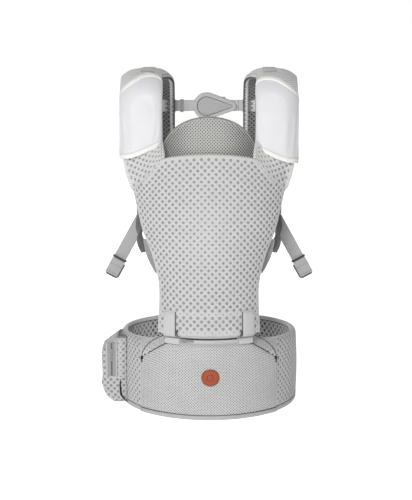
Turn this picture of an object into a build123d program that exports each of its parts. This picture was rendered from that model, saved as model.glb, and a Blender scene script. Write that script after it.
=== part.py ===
"""Soft hip-seat baby carrier: waist belt with a foam seat, front panel, shoulder straps, cross strap.

Frame: millimetres, +Z up, -Y towards the outside of the carrier, +Y towards the wearer's back.
The origin is the middle of the footprint, on the plane that the belt stands on. Left is -X.
Depths are given forward of the middle of the waist opening, and depth() turns one into a Y.
Right-hand pieces are modelled, and both_sides() writes each with its mirror image.
The helpers build in private, so that what they return joins a part only through add().
"""

import math
import os

from build123d import *

os.makedirs("parts", exist_ok=True)

# ---- driving dimensions ----
WAIST_Y = 34.0  # middle of the waist opening
BELT_HEIGHT = 128.0
BELT_SIDE = 158.0  # outer half-width of the belt
BELT_FRONT, BELT_BACK = 170.0, 120.0  # outer reach forward and backward
OPENING_SIDE, OPENING_FRONT, OPENING_BACK = 146.0, 92.0, 107.0
OPENING_CORNER = 70.0
BELLY_PAD = 12.0
WING_END = 44.0  # each wing stops this far from the middle of the back
BINDING, BINDING_THICK = 8.0, 1.5

SEAT_HALF = 118.0
SEAT_TOP_FRONT = 186.0
SEAT_HEIGHT = 137.0
SEAT_SHOULDER = 100.0  # height of the seat's outer corners
SEAT_FLAT = 74.0  # half-width of the flat top
COVER, TOP_PAD, BOARD = 4.0, 9.0, 3.0
GAP = 0.1  # between layers that lie on each other
REACH = 260.0  # longer than any depth, for cutting prisms

PANEL_BOTTOM, PANEL_TOP = 150.0, 456.0
PANEL_BOTTOM_F, PANEL_TOP_F = 186.0, 150.0  # depth of the panel's middle
PANEL_ARC_LOW, PANEL_ARC_HIGH = (104.0, 52.0), (142.0, 66.0)  # half-width and bow of the panel's plan
MESH_THICK, LINING_THICK = 3.0, 6.0

STRAP_PATH = [(119, 396), (108, 520), (92, 588), (-30, 588), (-60, 552), (-78, 392)]  # depth and height
STRAP_BEND = 58.0
STRAP_THICK, PAD_THICK = 14.0, 4.0
STRAP_IN, STRAP_OUT = 79.0, 154.0  # at the front; the back is nearer the middle
STRAP_SHIFT = 21.0
WEB, WEB_THICK = 25.0, 2.0
WAIST_WEB, CROSS_WEB = 38.0, 20.0


def depth(forward):
    """Y of a distance forward of the waist's middle."""
    return WAIST_Y - forward


def save(part, name):
    """Labels a finished piece and writes its file."""
    part.label = name
    export_step(part, f"parts/{name}.step")


def both_sides(part, name):
    """Writes a right-hand piece and its mirror image."""
    save(part, name + "_right")
    save(mirror(part, about=Plane.YZ), name + "_left")


def front_prism(points, near=-REACH, far=REACH):
    """A prism along Y whose front view is a polygon, between two depths."""
    with BuildPart(mode=Mode.PRIVATE) as prism:
        with BuildSketch(Plane.XZ.offset(-depth(near))):
            with BuildLine():
                Polyline(*points, close=True)
            make_face()
        extrude(amount=far - near)
    return prism.part


def plan_prism(points, low, high):
    """A vertical prism whose plan is a polygon of x and depth."""
    with BuildPart(mode=Mode.PRIVATE) as prism:
        with BuildSketch(Plane.XY.offset(low)):
            with BuildLine():
                Polyline(*[(x, depth(forward)) for x, forward in points], close=True)
            make_face()
        extrude(amount=high - low)
    return prism.part


def block(x, forward, z):
    """A box from its ranges of x, depth and height."""
    (left, right), (rear, front) = x, forward
    return plan_prism([(left, rear), (right, rear), (right, front), (left, front)], *z)


# ---- plans of the belt ----
def opening_plan(grow, low, high):
    """The waist opening grown outwards: a rounded rectangle in front and a half-oval behind."""
    side, front, back = OPENING_SIDE + grow, OPENING_FRONT + grow, OPENING_BACK + grow
    corner = OPENING_CORNER + grow
    with BuildPart(mode=Mode.PRIVATE) as plan:
        with BuildSketch(Plane.XY.offset(low)):
            with BuildLine():
                Line((side, WAIST_Y), (side, depth(front - corner)))
                CenterArc((side - corner, depth(front - corner)), corner, 0, -90)
                Line((side - corner, depth(front)), (corner - side, depth(front)))
                CenterArc((corner - side, depth(front - corner)), corner, -90, -90)
                Line((-side, depth(front - corner)), (-side, WAIST_Y))
                EllipticalCenterArc((0, WAIST_Y), side, back, start_angle=0, arc_size=180)
            make_face()
        extrude(amount=high - low)
    return plan.part


def belt_plan(grow, low, high):
    """The belt's outside: a half-oval in front and another behind."""
    side, front, back = BELT_SIDE + grow, BELT_FRONT + grow, BELT_BACK + grow
    with BuildPart(mode=Mode.PRIVATE) as plan:
        with BuildSketch(Plane.XY.offset(low)):
            with BuildLine():
                EllipticalCenterArc((0, WAIST_Y), side, front, start_angle=180, arc_size=180)
                EllipticalCenterArc((0, WAIST_Y), side, back, start_angle=0, arc_size=180)
            make_face()
        extrude(amount=high - low)
    return plan.part


# ---- hip seat ----
def seat_block(inset):
    """The seat's wedge, wider and deeper at the top, inset from its outside."""
    with BuildPart(mode=Mode.PRIVATE) as wedge:
        for z, front in ((0, BELT_FRONT), (SEAT_HEIGHT, SEAT_TOP_FRONT)):
            with BuildSketch(Plane.XY.offset(z)):
                with Locations((0, WAIST_Y)):
                    Ellipse(BELT_SIDE - inset, front - inset)
        loft()
        add(opening_plan(BELLY_PAD + GAP, -1, SEAT_HEIGHT + 1), mode=Mode.SUBTRACT)
        add(block((-REACH, REACH), (-REACH, 40), (-1, SEAT_HEIGHT + 1)), mode=Mode.SUBTRACT)
    return wedge.part


def seat_view(low, drop, inset=0.0):
    """Front view of the seat with its sloping shoulders, from a height to a drop below its top."""
    top, corner, half = SEAT_HEIGHT - drop, SEAT_SHOULDER - drop, SEAT_HALF - inset
    points = [(-half, low), (-half, corner), (-SEAT_FLAT, top)]
    points += [(SEAT_FLAT, top), (half, corner), (half, low)]
    return front_prism(points)


with BuildPart() as seat_front_cover:
    add(seat_block(0))
    add(seat_view(0, 0), mode=Mode.INTERSECT)
    add(seat_block(COVER), mode=Mode.SUBTRACT)
save(seat_front_cover.part, "seat_front_cover")

with BuildPart() as seat_core:
    add(seat_block(COVER + GAP))
    add(seat_view(BOARD, TOP_PAD, GAP), mode=Mode.INTERSECT)
save(seat_core.part, "seat_core")

with BuildPart() as seat_top_pad:
    add(seat_block(COVER + GAP))
    add(seat_view(BOARD, 0, GAP), mode=Mode.INTERSECT)
    add(seat_view(BOARD - 1, TOP_PAD - GAP, -10), mode=Mode.SUBTRACT)
save(seat_top_pad.part, "seat_top_pad")

with BuildPart() as seat_base_board:
    add(seat_block(COVER + GAP))
    add(block((GAP - SEAT_HALF, SEAT_HALF - GAP), (-REACH, REACH), (0, BOARD - GAP)), mode=Mode.INTERSECT)
save(seat_base_board.part, "seat_base_board")

with BuildPart() as belly_pad:
    add(opening_plan(BELLY_PAD, 0, BELT_HEIGHT))
    add(opening_plan(0, 0, BELT_HEIGHT), mode=Mode.SUBTRACT)
    add(block((-SEAT_HALF, SEAT_HALF), (60, REACH), (0, BELT_HEIGHT)), mode=Mode.INTERSECT)
save(belly_pad.part, "belly_pad")

BADGE_X, BADGE_Z, BADGE_RADIUS, BADGE_THICK = 2.5, 78.0, 15.0, 2.0
with BuildPart() as leather_badge:
    with BuildSketch(Plane.XZ.offset(-depth(150))):
        with Locations((BADGE_X, BADGE_Z)):
            Circle(BADGE_RADIUS)
    extrude(amount=50)
    add(seat_block(-BADGE_THICK - GAP), mode=Mode.INTERSECT)
    add(seat_block(-GAP), mode=Mode.SUBTRACT)
save(leather_badge.part, "leather_badge")

# ---- waist belt wings ----
WING_START = SEAT_HALF + 0.5
WING_REGION = [(WING_START, 200), (WING_START, 0), (WING_END, -40), (WING_END, -REACH)]
WING_REGION += [(REACH, -REACH), (REACH, 200)]

with BuildPart() as belt_wing:
    add(belt_plan(0, 0, BELT_HEIGHT))
    add(opening_plan(0, 0, BELT_HEIGHT), mode=Mode.SUBTRACT)
    add(plan_prism(WING_REGION, 0, BELT_HEIGHT), mode=Mode.INTERSECT)
both_sides(belt_wing.part, "belt_wing")

for name, low in (("belt_binding_top", BELT_HEIGHT - BINDING), ("belt_binding_bottom", 0)):
    with BuildPart() as binding:
        add(belt_plan(GAP + BINDING_THICK, low, low + BINDING))
        add(belt_plan(GAP, low, low + BINDING), mode=Mode.SUBTRACT)
        add(plan_prism(WING_REGION, low, low + BINDING), mode=Mode.INTERSECT)
    both_sides(binding.part, name)

# ---- side-release buckles ----
WALL, FREE = 2.0, 1.2  # the socket's wall, and the play round the plug's prongs


def buckle_socket(plane, web, length, thick):
    """The half with the mouth, which faces -x of its plane, and a bar for the webbing at the far end."""
    with BuildPart(mode=Mode.PRIVATE) as socket:
        with BuildSketch(plane.offset(-thick / 2)):
            with Locations((length / 2, 0)):
                RectangleRounded(length, web + 8, 3)
        extrude(amount=thick)
        with BuildSketch(plane.offset(WALL - thick / 2)):
            with Locations(((length - 10) / 2, 0)):
                Rectangle(length - 10, web + 2)
        extrude(amount=thick - 2 * WALL, mode=Mode.SUBTRACT)
        with BuildSketch(plane.offset(-thick / 2)):
            with Locations((length - 5.5, 0)):
                Rectangle(3.5, web + 1)
        extrude(amount=thick, mode=Mode.SUBTRACT)
    return socket.part


def buckle_plug(plane, web, reach, thick):
    """The half with two prongs that point along +x of its plane into the socket."""
    prong = web / 2 - 3
    with BuildPart(mode=Mode.PRIVATE) as plug:
        with BuildSketch(plane.offset(-thick / 2)):
            with Locations((-9.6, 0)):
                RectangleRounded(18, web + 8, 3)
            with Locations((-14, 0)):
                Rectangle(3.5, web + 1, mode=Mode.SUBTRACT)
        extrude(amount=thick)
        with BuildSketch(plane.offset(WALL + FREE - thick / 2)):
            with Locations((reach / 2 - 1, prong), (reach / 2 - 1, -prong)):
                RectangleRounded(reach, 4.5, 2)
        extrude(amount=thick - 2 * WALL - 2 * FREE)
    return plug.part


BUCKLE_F, BUCKLE_THICK = -(BELT_BACK + OPENING_BACK) / 2, 12.0
WAIST_BUCKLE = Plane(origin=(-5, depth(BUCKLE_F), BELT_HEIGHT / 2), x_dir=(1, 0, 0), z_dir=(0, 1, 0))
waist_socket = buckle_socket(WAIST_BUCKLE, WAIST_WEB, 38, BUCKLE_THICK)
save(waist_socket, "waist_buckle_socket")
waist_plug = buckle_plug(WAIST_BUCKLE, WAIST_WEB, 20, BUCKLE_THICK)
save(waist_plug, "waist_buckle_plug")


def waist_web(x, forward):
    """A flat length of waist webbing across the back."""
    half = WAIST_WEB / 2
    return block(x, (forward, forward + WEB_THICK), (BELT_HEIGHT / 2 - half, BELT_HEIGHT / 2 + half))


save(waist_web((33.2, WING_END - 0.3), BUCKLE_F - 1), "waist_webbing_right")
save(waist_web((-WING_END + 0.3, -23.8), BUCKLE_F - 1), "waist_webbing_left")

# ---- zipped pocket on the left wing ----
POCKET_X, POCKET_F, POCKET_WALL = (-192.0, -161.0), (2.0, 72.0), 1.6


def pocket_block(inset):
    """The pouch: its top falls outwards, and its outer edges are rounded."""
    (outer, inner), (rear, front) = POCKET_X, POCKET_F
    view = [(outer + inset + 6, 5 + inset), (outer + inset, 20), (outer + inset, 104 - inset)]
    view += [(inner - inset, 124 - inset), (inner - inset, 5 + inset)]
    with BuildPart(mode=Mode.PRIVATE) as pouch:
        add(front_prism(view, rear + inset, front - inset))
        fillet(pouch.edges().filter_by(Axis.Z).sort_by(Axis.X)[:2], 9 - inset)
    return pouch.part


POCKET_ZIP_X, POCKET_ZIP_Z, POCKET_SLIT = -173.0, (54.0, 104.0), 4.4
with BuildPart() as side_pocket:
    add(pocket_block(0))
    add(pocket_block(POCKET_WALL), mode=Mode.SUBTRACT)
    slit_x = (POCKET_ZIP_X - POCKET_SLIT / 2, POCKET_ZIP_X + POCKET_SLIT / 2)
    add(block(slit_x, (POCKET_F[1] - 10, POCKET_F[1] + 10), (56, 102)), mode=Mode.SUBTRACT)
save(side_pocket.part, "side_pocket")

zip_front = POCKET_F[1] + GAP
pocket_tape_x = (POCKET_ZIP_X - 6, POCKET_ZIP_X + 6)
save(block(pocket_tape_x, (zip_front, zip_front + 1.2), POCKET_ZIP_Z), "pocket_zip_tape")
zip_front += 1.2 + GAP
with BuildPart() as pocket_zip_slider:
    add(block((POCKET_ZIP_X - 3, POCKET_ZIP_X + 3), (zip_front, zip_front + 2.5), (95, 103)))
    add(block((POCKET_ZIP_X - 2, POCKET_ZIP_X + 2), (zip_front + 1, zip_front + 2.2), (80, 95)))
save(pocket_zip_slider.part, "pocket_zip_slider")


# ---- front panel ----
def panel_band(front_inset, thick, low, high):
    """A curved upright band that bows forward, more at the top, and leans back."""
    with BuildPart(mode=Mode.PRIVATE) as band:
        for z in (low, high):
            share = (z - PANEL_BOTTOM) / (PANEL_TOP - PANEL_BOTTOM)
            middle = PANEL_BOTTOM_F + share * (PANEL_TOP_F - PANEL_BOTTOM_F) - front_inset
            half = PANEL_ARC_LOW[0] + share * (PANEL_ARC_HIGH[0] - PANEL_ARC_LOW[0])
            bow = PANEL_ARC_LOW[1] + share * (PANEL_ARC_HIGH[1] - PANEL_ARC_LOW[1])
            with BuildSketch(Plane.XY.offset(z)):
                with BuildLine():
                    face = [(-half, depth(middle - bow)), (0, depth(middle)), (half, depth(middle - bow))]
                    back = [(x, y + thick) for x, y in face]
                    ThreePointArc(*face)
                    Line(face[2], back[2])
                    ThreePointArc(*reversed(back))
                    Line(back[0], face[0])
                make_face()
        loft()
    return band.part


# Half of the panel's front view, from the bottom corner up to where the shoulder strap is sewn on.
PANEL_EDGE = [(88, 150), (88, 245), (98, 283), (114, 324), (124, 364), (131.5, 398), (80, PANEL_TOP)]
panel_view = PANEL_EDGE + [(-x, z) for x, z in reversed(PANEL_EDGE)]

panel_layers = [("panel_mesh", 0, MESH_THICK), ("panel_lining", MESH_THICK + GAP, LINING_THICK)]
for name, inset, thick in panel_layers:
    with BuildPart() as layer:
        add(panel_band(inset, thick, PANEL_BOTTOM - 1, PANEL_TOP + 1))
        add(front_prism(panel_view, 0, 240), mode=Mode.INTERSECT)
    save(layer.part, name)

TAB_X = (57.0, 77.0)
with BuildPart() as panel_corner_tab:
    add(panel_band(-2.6, 2.5, PANEL_BOTTOM, 193))
    add(block(TAB_X, (100, REACH), (PANEL_BOTTOM, 193)), mode=Mode.INTERSECT)
both_sides(panel_corner_tab.part, "panel_corner_tab")

with BuildPart() as seat_corner_tab:
    add(panel_band(0, 7, SEAT_HEIGHT + GAP, 145.8))
    add(block((50, 74), (100, REACH), (SEAT_HEIGHT, 146)), mode=Mode.INTERSECT)
both_sides(seat_corner_tab.part, "seat_corner_tab")

PANEL_WEB_F = 112.0
gusset_view = [(90, 247), (92, 300), (111, 304)]
both_sides(front_prism(gusset_view, PANEL_WEB_F - 2, PANEL_WEB_F), "panel_gusset")

# ---- zip between the seat and the panel ----
# The panel's foot and the zip follow an arc about an upright axis.
foot_half, foot_bow = PANEL_ARC_LOW
FOOT_RADIUS = (foot_half**2 + foot_bow**2) / (2 * foot_bow)
ZIP_RADIUS, ZIP_HALF, ZIP_TAPE = FOOT_RADIUS - 5, 49.0, 1.2


def zip_arc(x, grow, thick, z):
    """A stretch of the zip's arc from its ranges of x and height, grow in front of the tape's back."""
    with BuildPart(mode=Mode.PRIVATE) as stretch:
        with BuildSketch(Plane.XY.offset(z[0])):
            with Locations((0, depth(PANEL_BOTTOM_F - FOOT_RADIUS))):
                Circle(ZIP_RADIUS + grow + thick)
                Circle(ZIP_RADIUS + grow, mode=Mode.SUBTRACT)
        extrude(amount=z[1] - z[0])
        add(block(x, (100, REACH), z), mode=Mode.INTERSECT)
    return stretch.part


ZIP_LINE = 146.0  # the zip opens along this height
zip_x = (-ZIP_HALF, ZIP_HALF)
save(zip_arc(zip_x, 0, ZIP_TAPE, (SEAT_HEIGHT + GAP, ZIP_LINE - 0.2)), "seat_zip_tape_lower")
save(zip_arc(zip_x, 0, ZIP_TAPE, (ZIP_LINE + 0.2, PANEL_BOTTOM - 0.2)), "seat_zip_tape_upper")
with BuildPart() as seat_zip_slider:
    add(zip_arc((-47, -39), ZIP_TAPE + GAP, 2.5, (139.2, 145.8)))
    add(zip_arc((-39, -26), ZIP_TAPE + GAP + 1, 1.2, (140.2, 144.8)))
save(seat_zip_slider.part, "seat_zip_slider")

# ---- headrest ----
HEAD_HALF, HEAD_LOW, HEAD_TOP, HEAD_F, HEAD_BOW = 83.0, 447.0, 519.0, 138.0, 52.0
with BuildPart() as headrest:
    with BuildSketch(Plane.XY.offset(HEAD_LOW)):
        with BuildLine():
            head_side = depth(HEAD_F - HEAD_BOW)
            face = [(-HEAD_HALF, head_side), (0, depth(HEAD_F)), (HEAD_HALF, head_side)]
            back = [(x, y + 8) for x, y in face]
            ThreePointArc(*face)
            Line(face[2], back[2])
            ThreePointArc(*reversed(back))
            Line(back[0], face[0])
        make_face()
    extrude(amount=HEAD_TOP - HEAD_LOW)
    with BuildSketch(Plane.XZ.offset(-depth(0))):
        with Locations((0, HEAD_LOW)):
            Ellipse(HEAD_HALF, HEAD_TOP - HEAD_LOW)
            Rectangle(2 * HEAD_HALF, 2 * 30)
    extrude(amount=REACH, mode=Mode.INTERSECT)
save(headrest.part, "headrest")


# ---- shoulder straps ----
def strap_band(thick, x_from, x_to):
    """The strap's arch, seen from the side, as a band of even thickness."""
    with BuildPart(mode=Mode.PRIVATE) as band:
        with BuildSketch(Plane.YZ.offset(x_from)):
            with BuildLine() as arch:
                FilletPolyline(*[(depth(forward), z) for forward, z in STRAP_PATH], radius=STRAP_BEND)
            trace(arch.line, line_width=thick)
        extrude(amount=x_to - x_from)
    return band.part


# Plan of the strap: the back half lies nearer the middle.
strap_plan = [(STRAP_IN, REACH), (STRAP_OUT, REACH), (STRAP_OUT, 75), (STRAP_OUT - STRAP_SHIFT, -15)]
strap_plan += [(STRAP_OUT - STRAP_SHIFT, -REACH), (STRAP_IN - STRAP_SHIFT, -REACH)]
strap_plan += [(STRAP_IN - STRAP_SHIFT, -15), (STRAP_IN, 75)]

with BuildPart() as shoulder_strap:
    add(strap_band(STRAP_THICK, 40, 170))
    add(plan_prism(strap_plan, 300, 640), mode=Mode.INTERSECT)
    front_end = [(79, 620), (79, 458), (131.5, 398.8), (131.5, 390), (60, 390), (60, 620)]
    add(front_prism(front_end, 60, 200), mode=Mode.SUBTRACT)
    outer_edge = [(131.5, 380), (131.5, 398.8), (150, 440), (154, 470), (200, 470), (200, 380)]
    add(front_prism(outer_edge, 60, 200), mode=Mode.SUBTRACT)
    for corner in ([(50, 440), (99, 380), (40, 380)], [(140, 440), (125, 380), (150, 380)]):
        add(front_prism(corner, -200, 0), mode=Mode.SUBTRACT)
both_sides(shoulder_strap.part, "shoulder_strap")

with BuildPart() as drool_pad:
    add(strap_band(STRAP_THICK + 2 * PAD_THICK, STRAP_IN - PAD_THICK, STRAP_OUT + PAD_THICK))
    add(strap_band(STRAP_THICK + 2 * GAP, STRAP_IN - GAP, STRAP_OUT + GAP), mode=Mode.SUBTRACT)
    pad_view = [(70, 478), (90, 468), (135, 452), (165, 448)]
    pad_view += [(165, 572), (135, 580), (100, 594), (70, 594)]
    add(front_prism(pad_view, 76, 200), mode=Mode.INTERSECT)
both_sides(drool_pad.part, "drool_pad")

with BuildPart() as strap_top_tab:
    add(strap_band(STRAP_THICK + 2 * GAP + 2 * WEB_THICK, 94, 118))
    add(strap_band(STRAP_THICK + 2 * GAP, 93, 119), mode=Mode.SUBTRACT)
    add(block((90, 120), (-10, 70), (590, 620)), mode=Mode.INTERSECT)
both_sides(strap_top_tab.part, "strap_top_tab")


def web_run(start, end, facing, width=WEB, thick=WEB_THICK):
    """Webbing between two points of x, depth and height, its flat face turned to facing."""
    ends = [Vector(x, depth(forward), z) for x, forward, z in (start, end)]
    run = ends[1] - ends[0]
    across = run.cross(Vector(*facing))
    flat = Plane(origin=(ends[0] + ends[1]) * 0.5, x_dir=run, z_dir=run.cross(across))
    with BuildPart(mode=Mode.PRIVATE) as web:
        with BuildSketch(flat):
            Rectangle(run.length, width)
        extrude(amount=thick / 2, both=True)
    return web.part


LOCK = (112.0, 22.0, 350.0)  # x, depth and height of the ladder lock's middle
both_sides(web_run((112, -66, 391), (LOCK[0], LOCK[1] - 5, 362), (0, 0, 1), thick=3), "strap_tongue")

with BuildPart() as ladder_lock:
    with BuildSketch(Plane.XZ.offset(-depth(LOCK[1] - 3))):
        with Locations((LOCK[0], LOCK[2])):
            RectangleRounded(WEB + 9, 26, 4)
            with Locations((0, 7), (0, -1.5)):
                Rectangle(WEB + 1, 4, mode=Mode.SUBTRACT)
    extrude(amount=5)
both_sides(ladder_lock.part, "ladder_lock")
both_sides(web_run((111, 29.5, 340), (101, PANEL_WEB_F - 4, 288), (0, 0, 1)), "adjuster_webbing")

# ---- loose tails of the adjusters ----
TAIL_TOP, TAIL_END, TAIL_F = (117.0, 335.0), (162.0, 253.0), 27.0
tail_run = Vector(TAIL_END[0] - TAIL_TOP[0], 0, TAIL_END[1] - TAIL_TOP[1])
tail_way = tail_run.normalized()


def tail_piece(start, length, width, thick):
    """A flat piece along the tail, from a distance down it."""
    first = Vector(TAIL_TOP[0], depth(TAIL_F), TAIL_TOP[1]) + tail_way * start
    with BuildPart(mode=Mode.PRIVATE) as piece:
        with BuildSketch(Plane(origin=first, x_dir=tail_way, z_dir=(0, -1, 0))):
            with Locations((length / 2, 0)):
                Rectangle(length, width)
        extrude(amount=thick / 2, both=True)
    return piece.part


tail_length = tail_run.length
both_sides(tail_piece(0, tail_length, WEB, WEB_THICK), "adjuster_tail")
both_sides(tail_piece(tail_length + 0.2, 28, WEB + 1, 3 * WEB_THICK), "tail_fold")
with BuildPart() as tail_keeper:
    add(tail_piece(tail_length - 12, 7, WEB + 4, WEB_THICK + 3.2))
    add(tail_piece(tail_length - 13, 9, WEB + 1, WEB_THICK + 0.4), mode=Mode.SUBTRACT)
both_sides(tail_keeper.part, "tail_keeper")

# ---- cross strap behind the neck, in the plane of the straps' back stretch ----
back_top, back_foot = STRAP_PATH[4], STRAP_PATH[5]
slope = math.atan2(back_top[0] - back_foot[0], back_top[1] - back_foot[1])
CROSS_Z = 524.0
cross_f = back_top[0] - (back_top[1] - CROSS_Z) * math.tan(slope) + STRAP_THICK / 2 / math.cos(slope)
CROSS = Plane(
    origin=(0, depth(cross_f), CROSS_Z), x_dir=(1, 0, 0), z_dir=(0, -math.cos(slope), -math.sin(slope))
)


def cross_web(x_from, x_to, width, low, high):
    """A flat piece in the cross strap's plane, between two heights over the straps' face."""
    with BuildPart(mode=Mode.PRIVATE) as web:
        with BuildSketch(CROSS.offset(low)):
            with Locations(((x_from + x_to) / 2, 0)):
                Rectangle(x_to - x_from, width)
        extrude(amount=high - low)
    return web.part


save(cross_web(-88, -60, CROSS_WEB + 2, 0.3, 2.3), "cross_loop_left")
save(cross_web(60, 84, CROSS_WEB + 2, 0.3, 2.3), "cross_loop_right")
save(cross_web(-59.9, -26, CROSS_WEB, 0.3, 2.3), "cross_webbing_left")
save(cross_web(42, 59.9, CROSS_WEB, 0.3, 2.3), "cross_webbing_right")

with BuildPart() as cross_slider:
    add(cross_web(-52, -46, CROSS_WEB + 6, -1.2, 3.8))
    add(cross_web(-54, -44, CROSS_WEB + 1, 0.1, 2.5), mode=Mode.SUBTRACT)
save(cross_slider.part, "cross_slider")


def teardrop(grow, low, high):
    """The cover's outline, round at the left and drawn out to the webbing at the right."""
    with BuildPart(mode=Mode.PRIVATE) as drop:
        with BuildSketch(CROSS.offset(low)):
            with Locations((-4, 0)):
                Circle(24.5 + grow)
            with Locations((41, 0)):
                Circle(9 + grow)
            make_hull()
        extrude(amount=high - low)
    return drop.part


with BuildPart() as cross_cover_rim:
    add(teardrop(0, 2.4, 10))
    add(teardrop(-8, 4.4, 11), mode=Mode.SUBTRACT)
save(cross_cover_rim.part, "cross_cover_rim")
save(teardrop(-8 - GAP, 4.4 + GAP, 9), "cross_cover_insert")

CROSS_BUCKLE = Plane(origin=CROSS.from_local_coords((0, 0, -5.5)), x_dir=(1, 0, 0), z_dir=CROSS.z_dir)
save(buckle_socket(CROSS_BUCKLE, CROSS_WEB, 30, 10), "cross_buckle_socket")
save(buckle_plug(CROSS_BUCKLE, CROSS_WEB, 16, 10), "cross_buckle_plug")
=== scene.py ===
"""Looks of the soft hip-seat baby carrier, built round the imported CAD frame.

Lengths are in millimetres until a mesh is made. A surface is a function of (s, t), distances along it, that returns
points; its outside is where s cross t points. Depths are forward of the middle of the waist opening, and point()
makes them Y.
"""

import math

import bmesh
import bpy
import numpy as np
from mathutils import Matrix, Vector


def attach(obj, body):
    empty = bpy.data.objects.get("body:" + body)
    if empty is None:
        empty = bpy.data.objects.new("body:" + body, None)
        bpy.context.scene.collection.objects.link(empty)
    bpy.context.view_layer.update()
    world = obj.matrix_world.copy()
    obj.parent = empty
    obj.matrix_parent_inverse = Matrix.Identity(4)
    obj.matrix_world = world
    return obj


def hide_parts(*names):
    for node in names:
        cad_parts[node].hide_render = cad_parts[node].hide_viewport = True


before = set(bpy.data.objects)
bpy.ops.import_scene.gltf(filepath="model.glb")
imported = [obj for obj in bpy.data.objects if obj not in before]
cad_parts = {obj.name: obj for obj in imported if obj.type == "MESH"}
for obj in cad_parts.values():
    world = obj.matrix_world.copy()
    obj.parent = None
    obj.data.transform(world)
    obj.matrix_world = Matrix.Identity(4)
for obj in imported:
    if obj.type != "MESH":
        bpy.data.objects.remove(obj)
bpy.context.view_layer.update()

MM = 0.001
SAME_PLACE = 1e-6
SLIVER, WALL_SPAN = 0.02, 0.2  # of a mesh with holes: the smallest face and the narrowest wall that are kept
UP, FRONT = np.array([0, 0, 1.0]), np.array([0, -1.0, 0])
SIDES = {"left": -1, "right": 1}

# ---- driving dimensions, as the CAD frame has them ----
WAIST_Y = 34.0
BELT_HEIGHT = 128.0
BELT_SIDE, BELT_FRONT, BELT_BACK = 158.0, 170.0, 120.0
OPENING_SIDE, OPENING_FRONT, OPENING_BACK, OPENING_CORNER = 146.0, 92.0, 107.0, 70.0
BELLY_PAD = 12.0
WING_START, WING_END = 118.5, 44.0
SEAT_HALF, SEAT_TOP_FRONT, SEAT_HEIGHT = 118.0, 186.0, 137.0
SEAT_SHOULDER, SEAT_FLAT = 100.0, 74.0
PANEL_BOTTOM, PANEL_TOP = 150.0, 456.0
PANEL_BOTTOM_F, PANEL_TOP_F = 186.0, 150.0
STRAP_PATH = [(119, 396), (108, 520), (92, 588), (-30, 588), (-60, 552), (-78, 392)]
STRAP_BEND = 58.0
STRAP_MIDDLE, STRAP_HALF, STRAP_SHIFT = 116.5, 35.0, 19.0
WEB = 25.0


# ---- small numeric helpers ----
def smooth_curve(x, points):
    """A smooth curve through points of (x, y), read at x."""
    px, py = np.array(points, float).T
    slope = np.gradient(py, px)
    x = np.clip(np.asarray(x, float), px[0], px[-1])
    i = np.clip(np.searchsorted(px, x) - 1, 0, len(px) - 2)
    gap = px[i + 1] - px[i]
    u = (x - px[i]) / gap
    a, b = py[i], py[i + 1]
    ta, tb = slope[i] * gap, slope[i + 1] * gap
    return (2 * u**3 - 3 * u**2 + 1) * a + (u**3 - 2 * u**2 + u) * ta + (3 * u**2 - 2 * u**3) * b + (u**3 - u**2) * tb


def smooth_step(x, low, high):
    """0 before low, 1 after high, smooth between."""
    u = np.clip((np.asarray(x, float) - low) / (high - low), 0, 1)
    return u * u * (3 - 2 * u)


def stack(x, y, z):
    """Arrays of x, y and z as one array of points."""
    return np.stack(np.broadcast_arrays(np.asarray(x, float), y, z), axis=-1)


def point(x, forward, z):
    """Points from x, depth forward of the waist's middle, and height."""
    return stack(x, WAIST_Y - np.asarray(forward, float), z)


def unit(v):
    """Vectors at length 1."""
    return v / np.maximum(np.linalg.norm(v, axis=-1, keepdims=True), 1e-9)


def fillet_path(corners, radius):
    """Points along straight runs joined by tangent arcs, evenly spaced."""
    corners = [np.array(c, float) for c in corners]
    points = [corners[0]]
    for before, corner, after in zip(corners, corners[1:], corners[2:]):
        a, b = unit(before - corner), unit(after - corner)
        half = math.acos(np.clip(a @ b, -1, 1)) / 2
        cut = radius / math.tan(half)
        centre = corner + unit(a + b) * radius / math.sin(half)
        start, end = corner + a * cut - centre, corner + b * cut - centre
        turn = math.pi - 2 * half
        for share in np.linspace(0, 1, 12):
            way = math.sin((1 - share) * turn) * start + math.sin(share * turn) * end
            points.append(centre + way / math.sin(turn))
    points.append(corners[-1])
    return even(np.array(points), 3.0)


def distances(points):
    """How far along a line each of its points is."""
    return np.concatenate([[0], np.cumsum(np.linalg.norm(np.diff(points, axis=0), axis=1))])


def ring_of(points):
    """A line brought back to its first point."""
    return np.concatenate([points, points[:1]])


def even(points, step):
    """The same line with its points evenly spaced."""
    along = distances(points)
    at = np.linspace(0, along[-1], max(2, int(round(along[-1] / step)) + 1))
    return np.stack([np.interp(at, along, points[:, k]) for k in range(points.shape[1])], axis=1)


class Rail:
    """A line that is read by the distance along it."""

    def __init__(self, points):
        self.points = np.asarray(points, float)
        self.along = distances(self.points)
        self.length = self.along[-1]

    def at(self, distance):
        return np.stack([np.interp(distance, self.along, column) for column in self.points.T], axis=-1)

    def way(self, distance):
        """Direction along the line."""
        return unit(self.at(np.asarray(distance) + 2.0) - self.at(np.asarray(distance) - 2.0))


def on(surface, s, t, height=0.0):
    """Points over a surface, height along its outside."""
    s, t = np.broadcast_arrays(np.asarray(s, float), np.asarray(t, float))
    points = surface(s, t)
    if np.any(height):
        e = 0.6
        normal = unit(np.cross(surface(s + e, t) - surface(s - e, t), surface(s, t + e) - surface(s, t - e)))
        points = points + normal * np.asarray(height, float)[..., None]
    return points


def on_both_sides(build):
    """Calls a builder of one side's pieces for the left side, then for the right one."""
    for label, side in SIDES.items():
        build(label, side)


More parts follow.
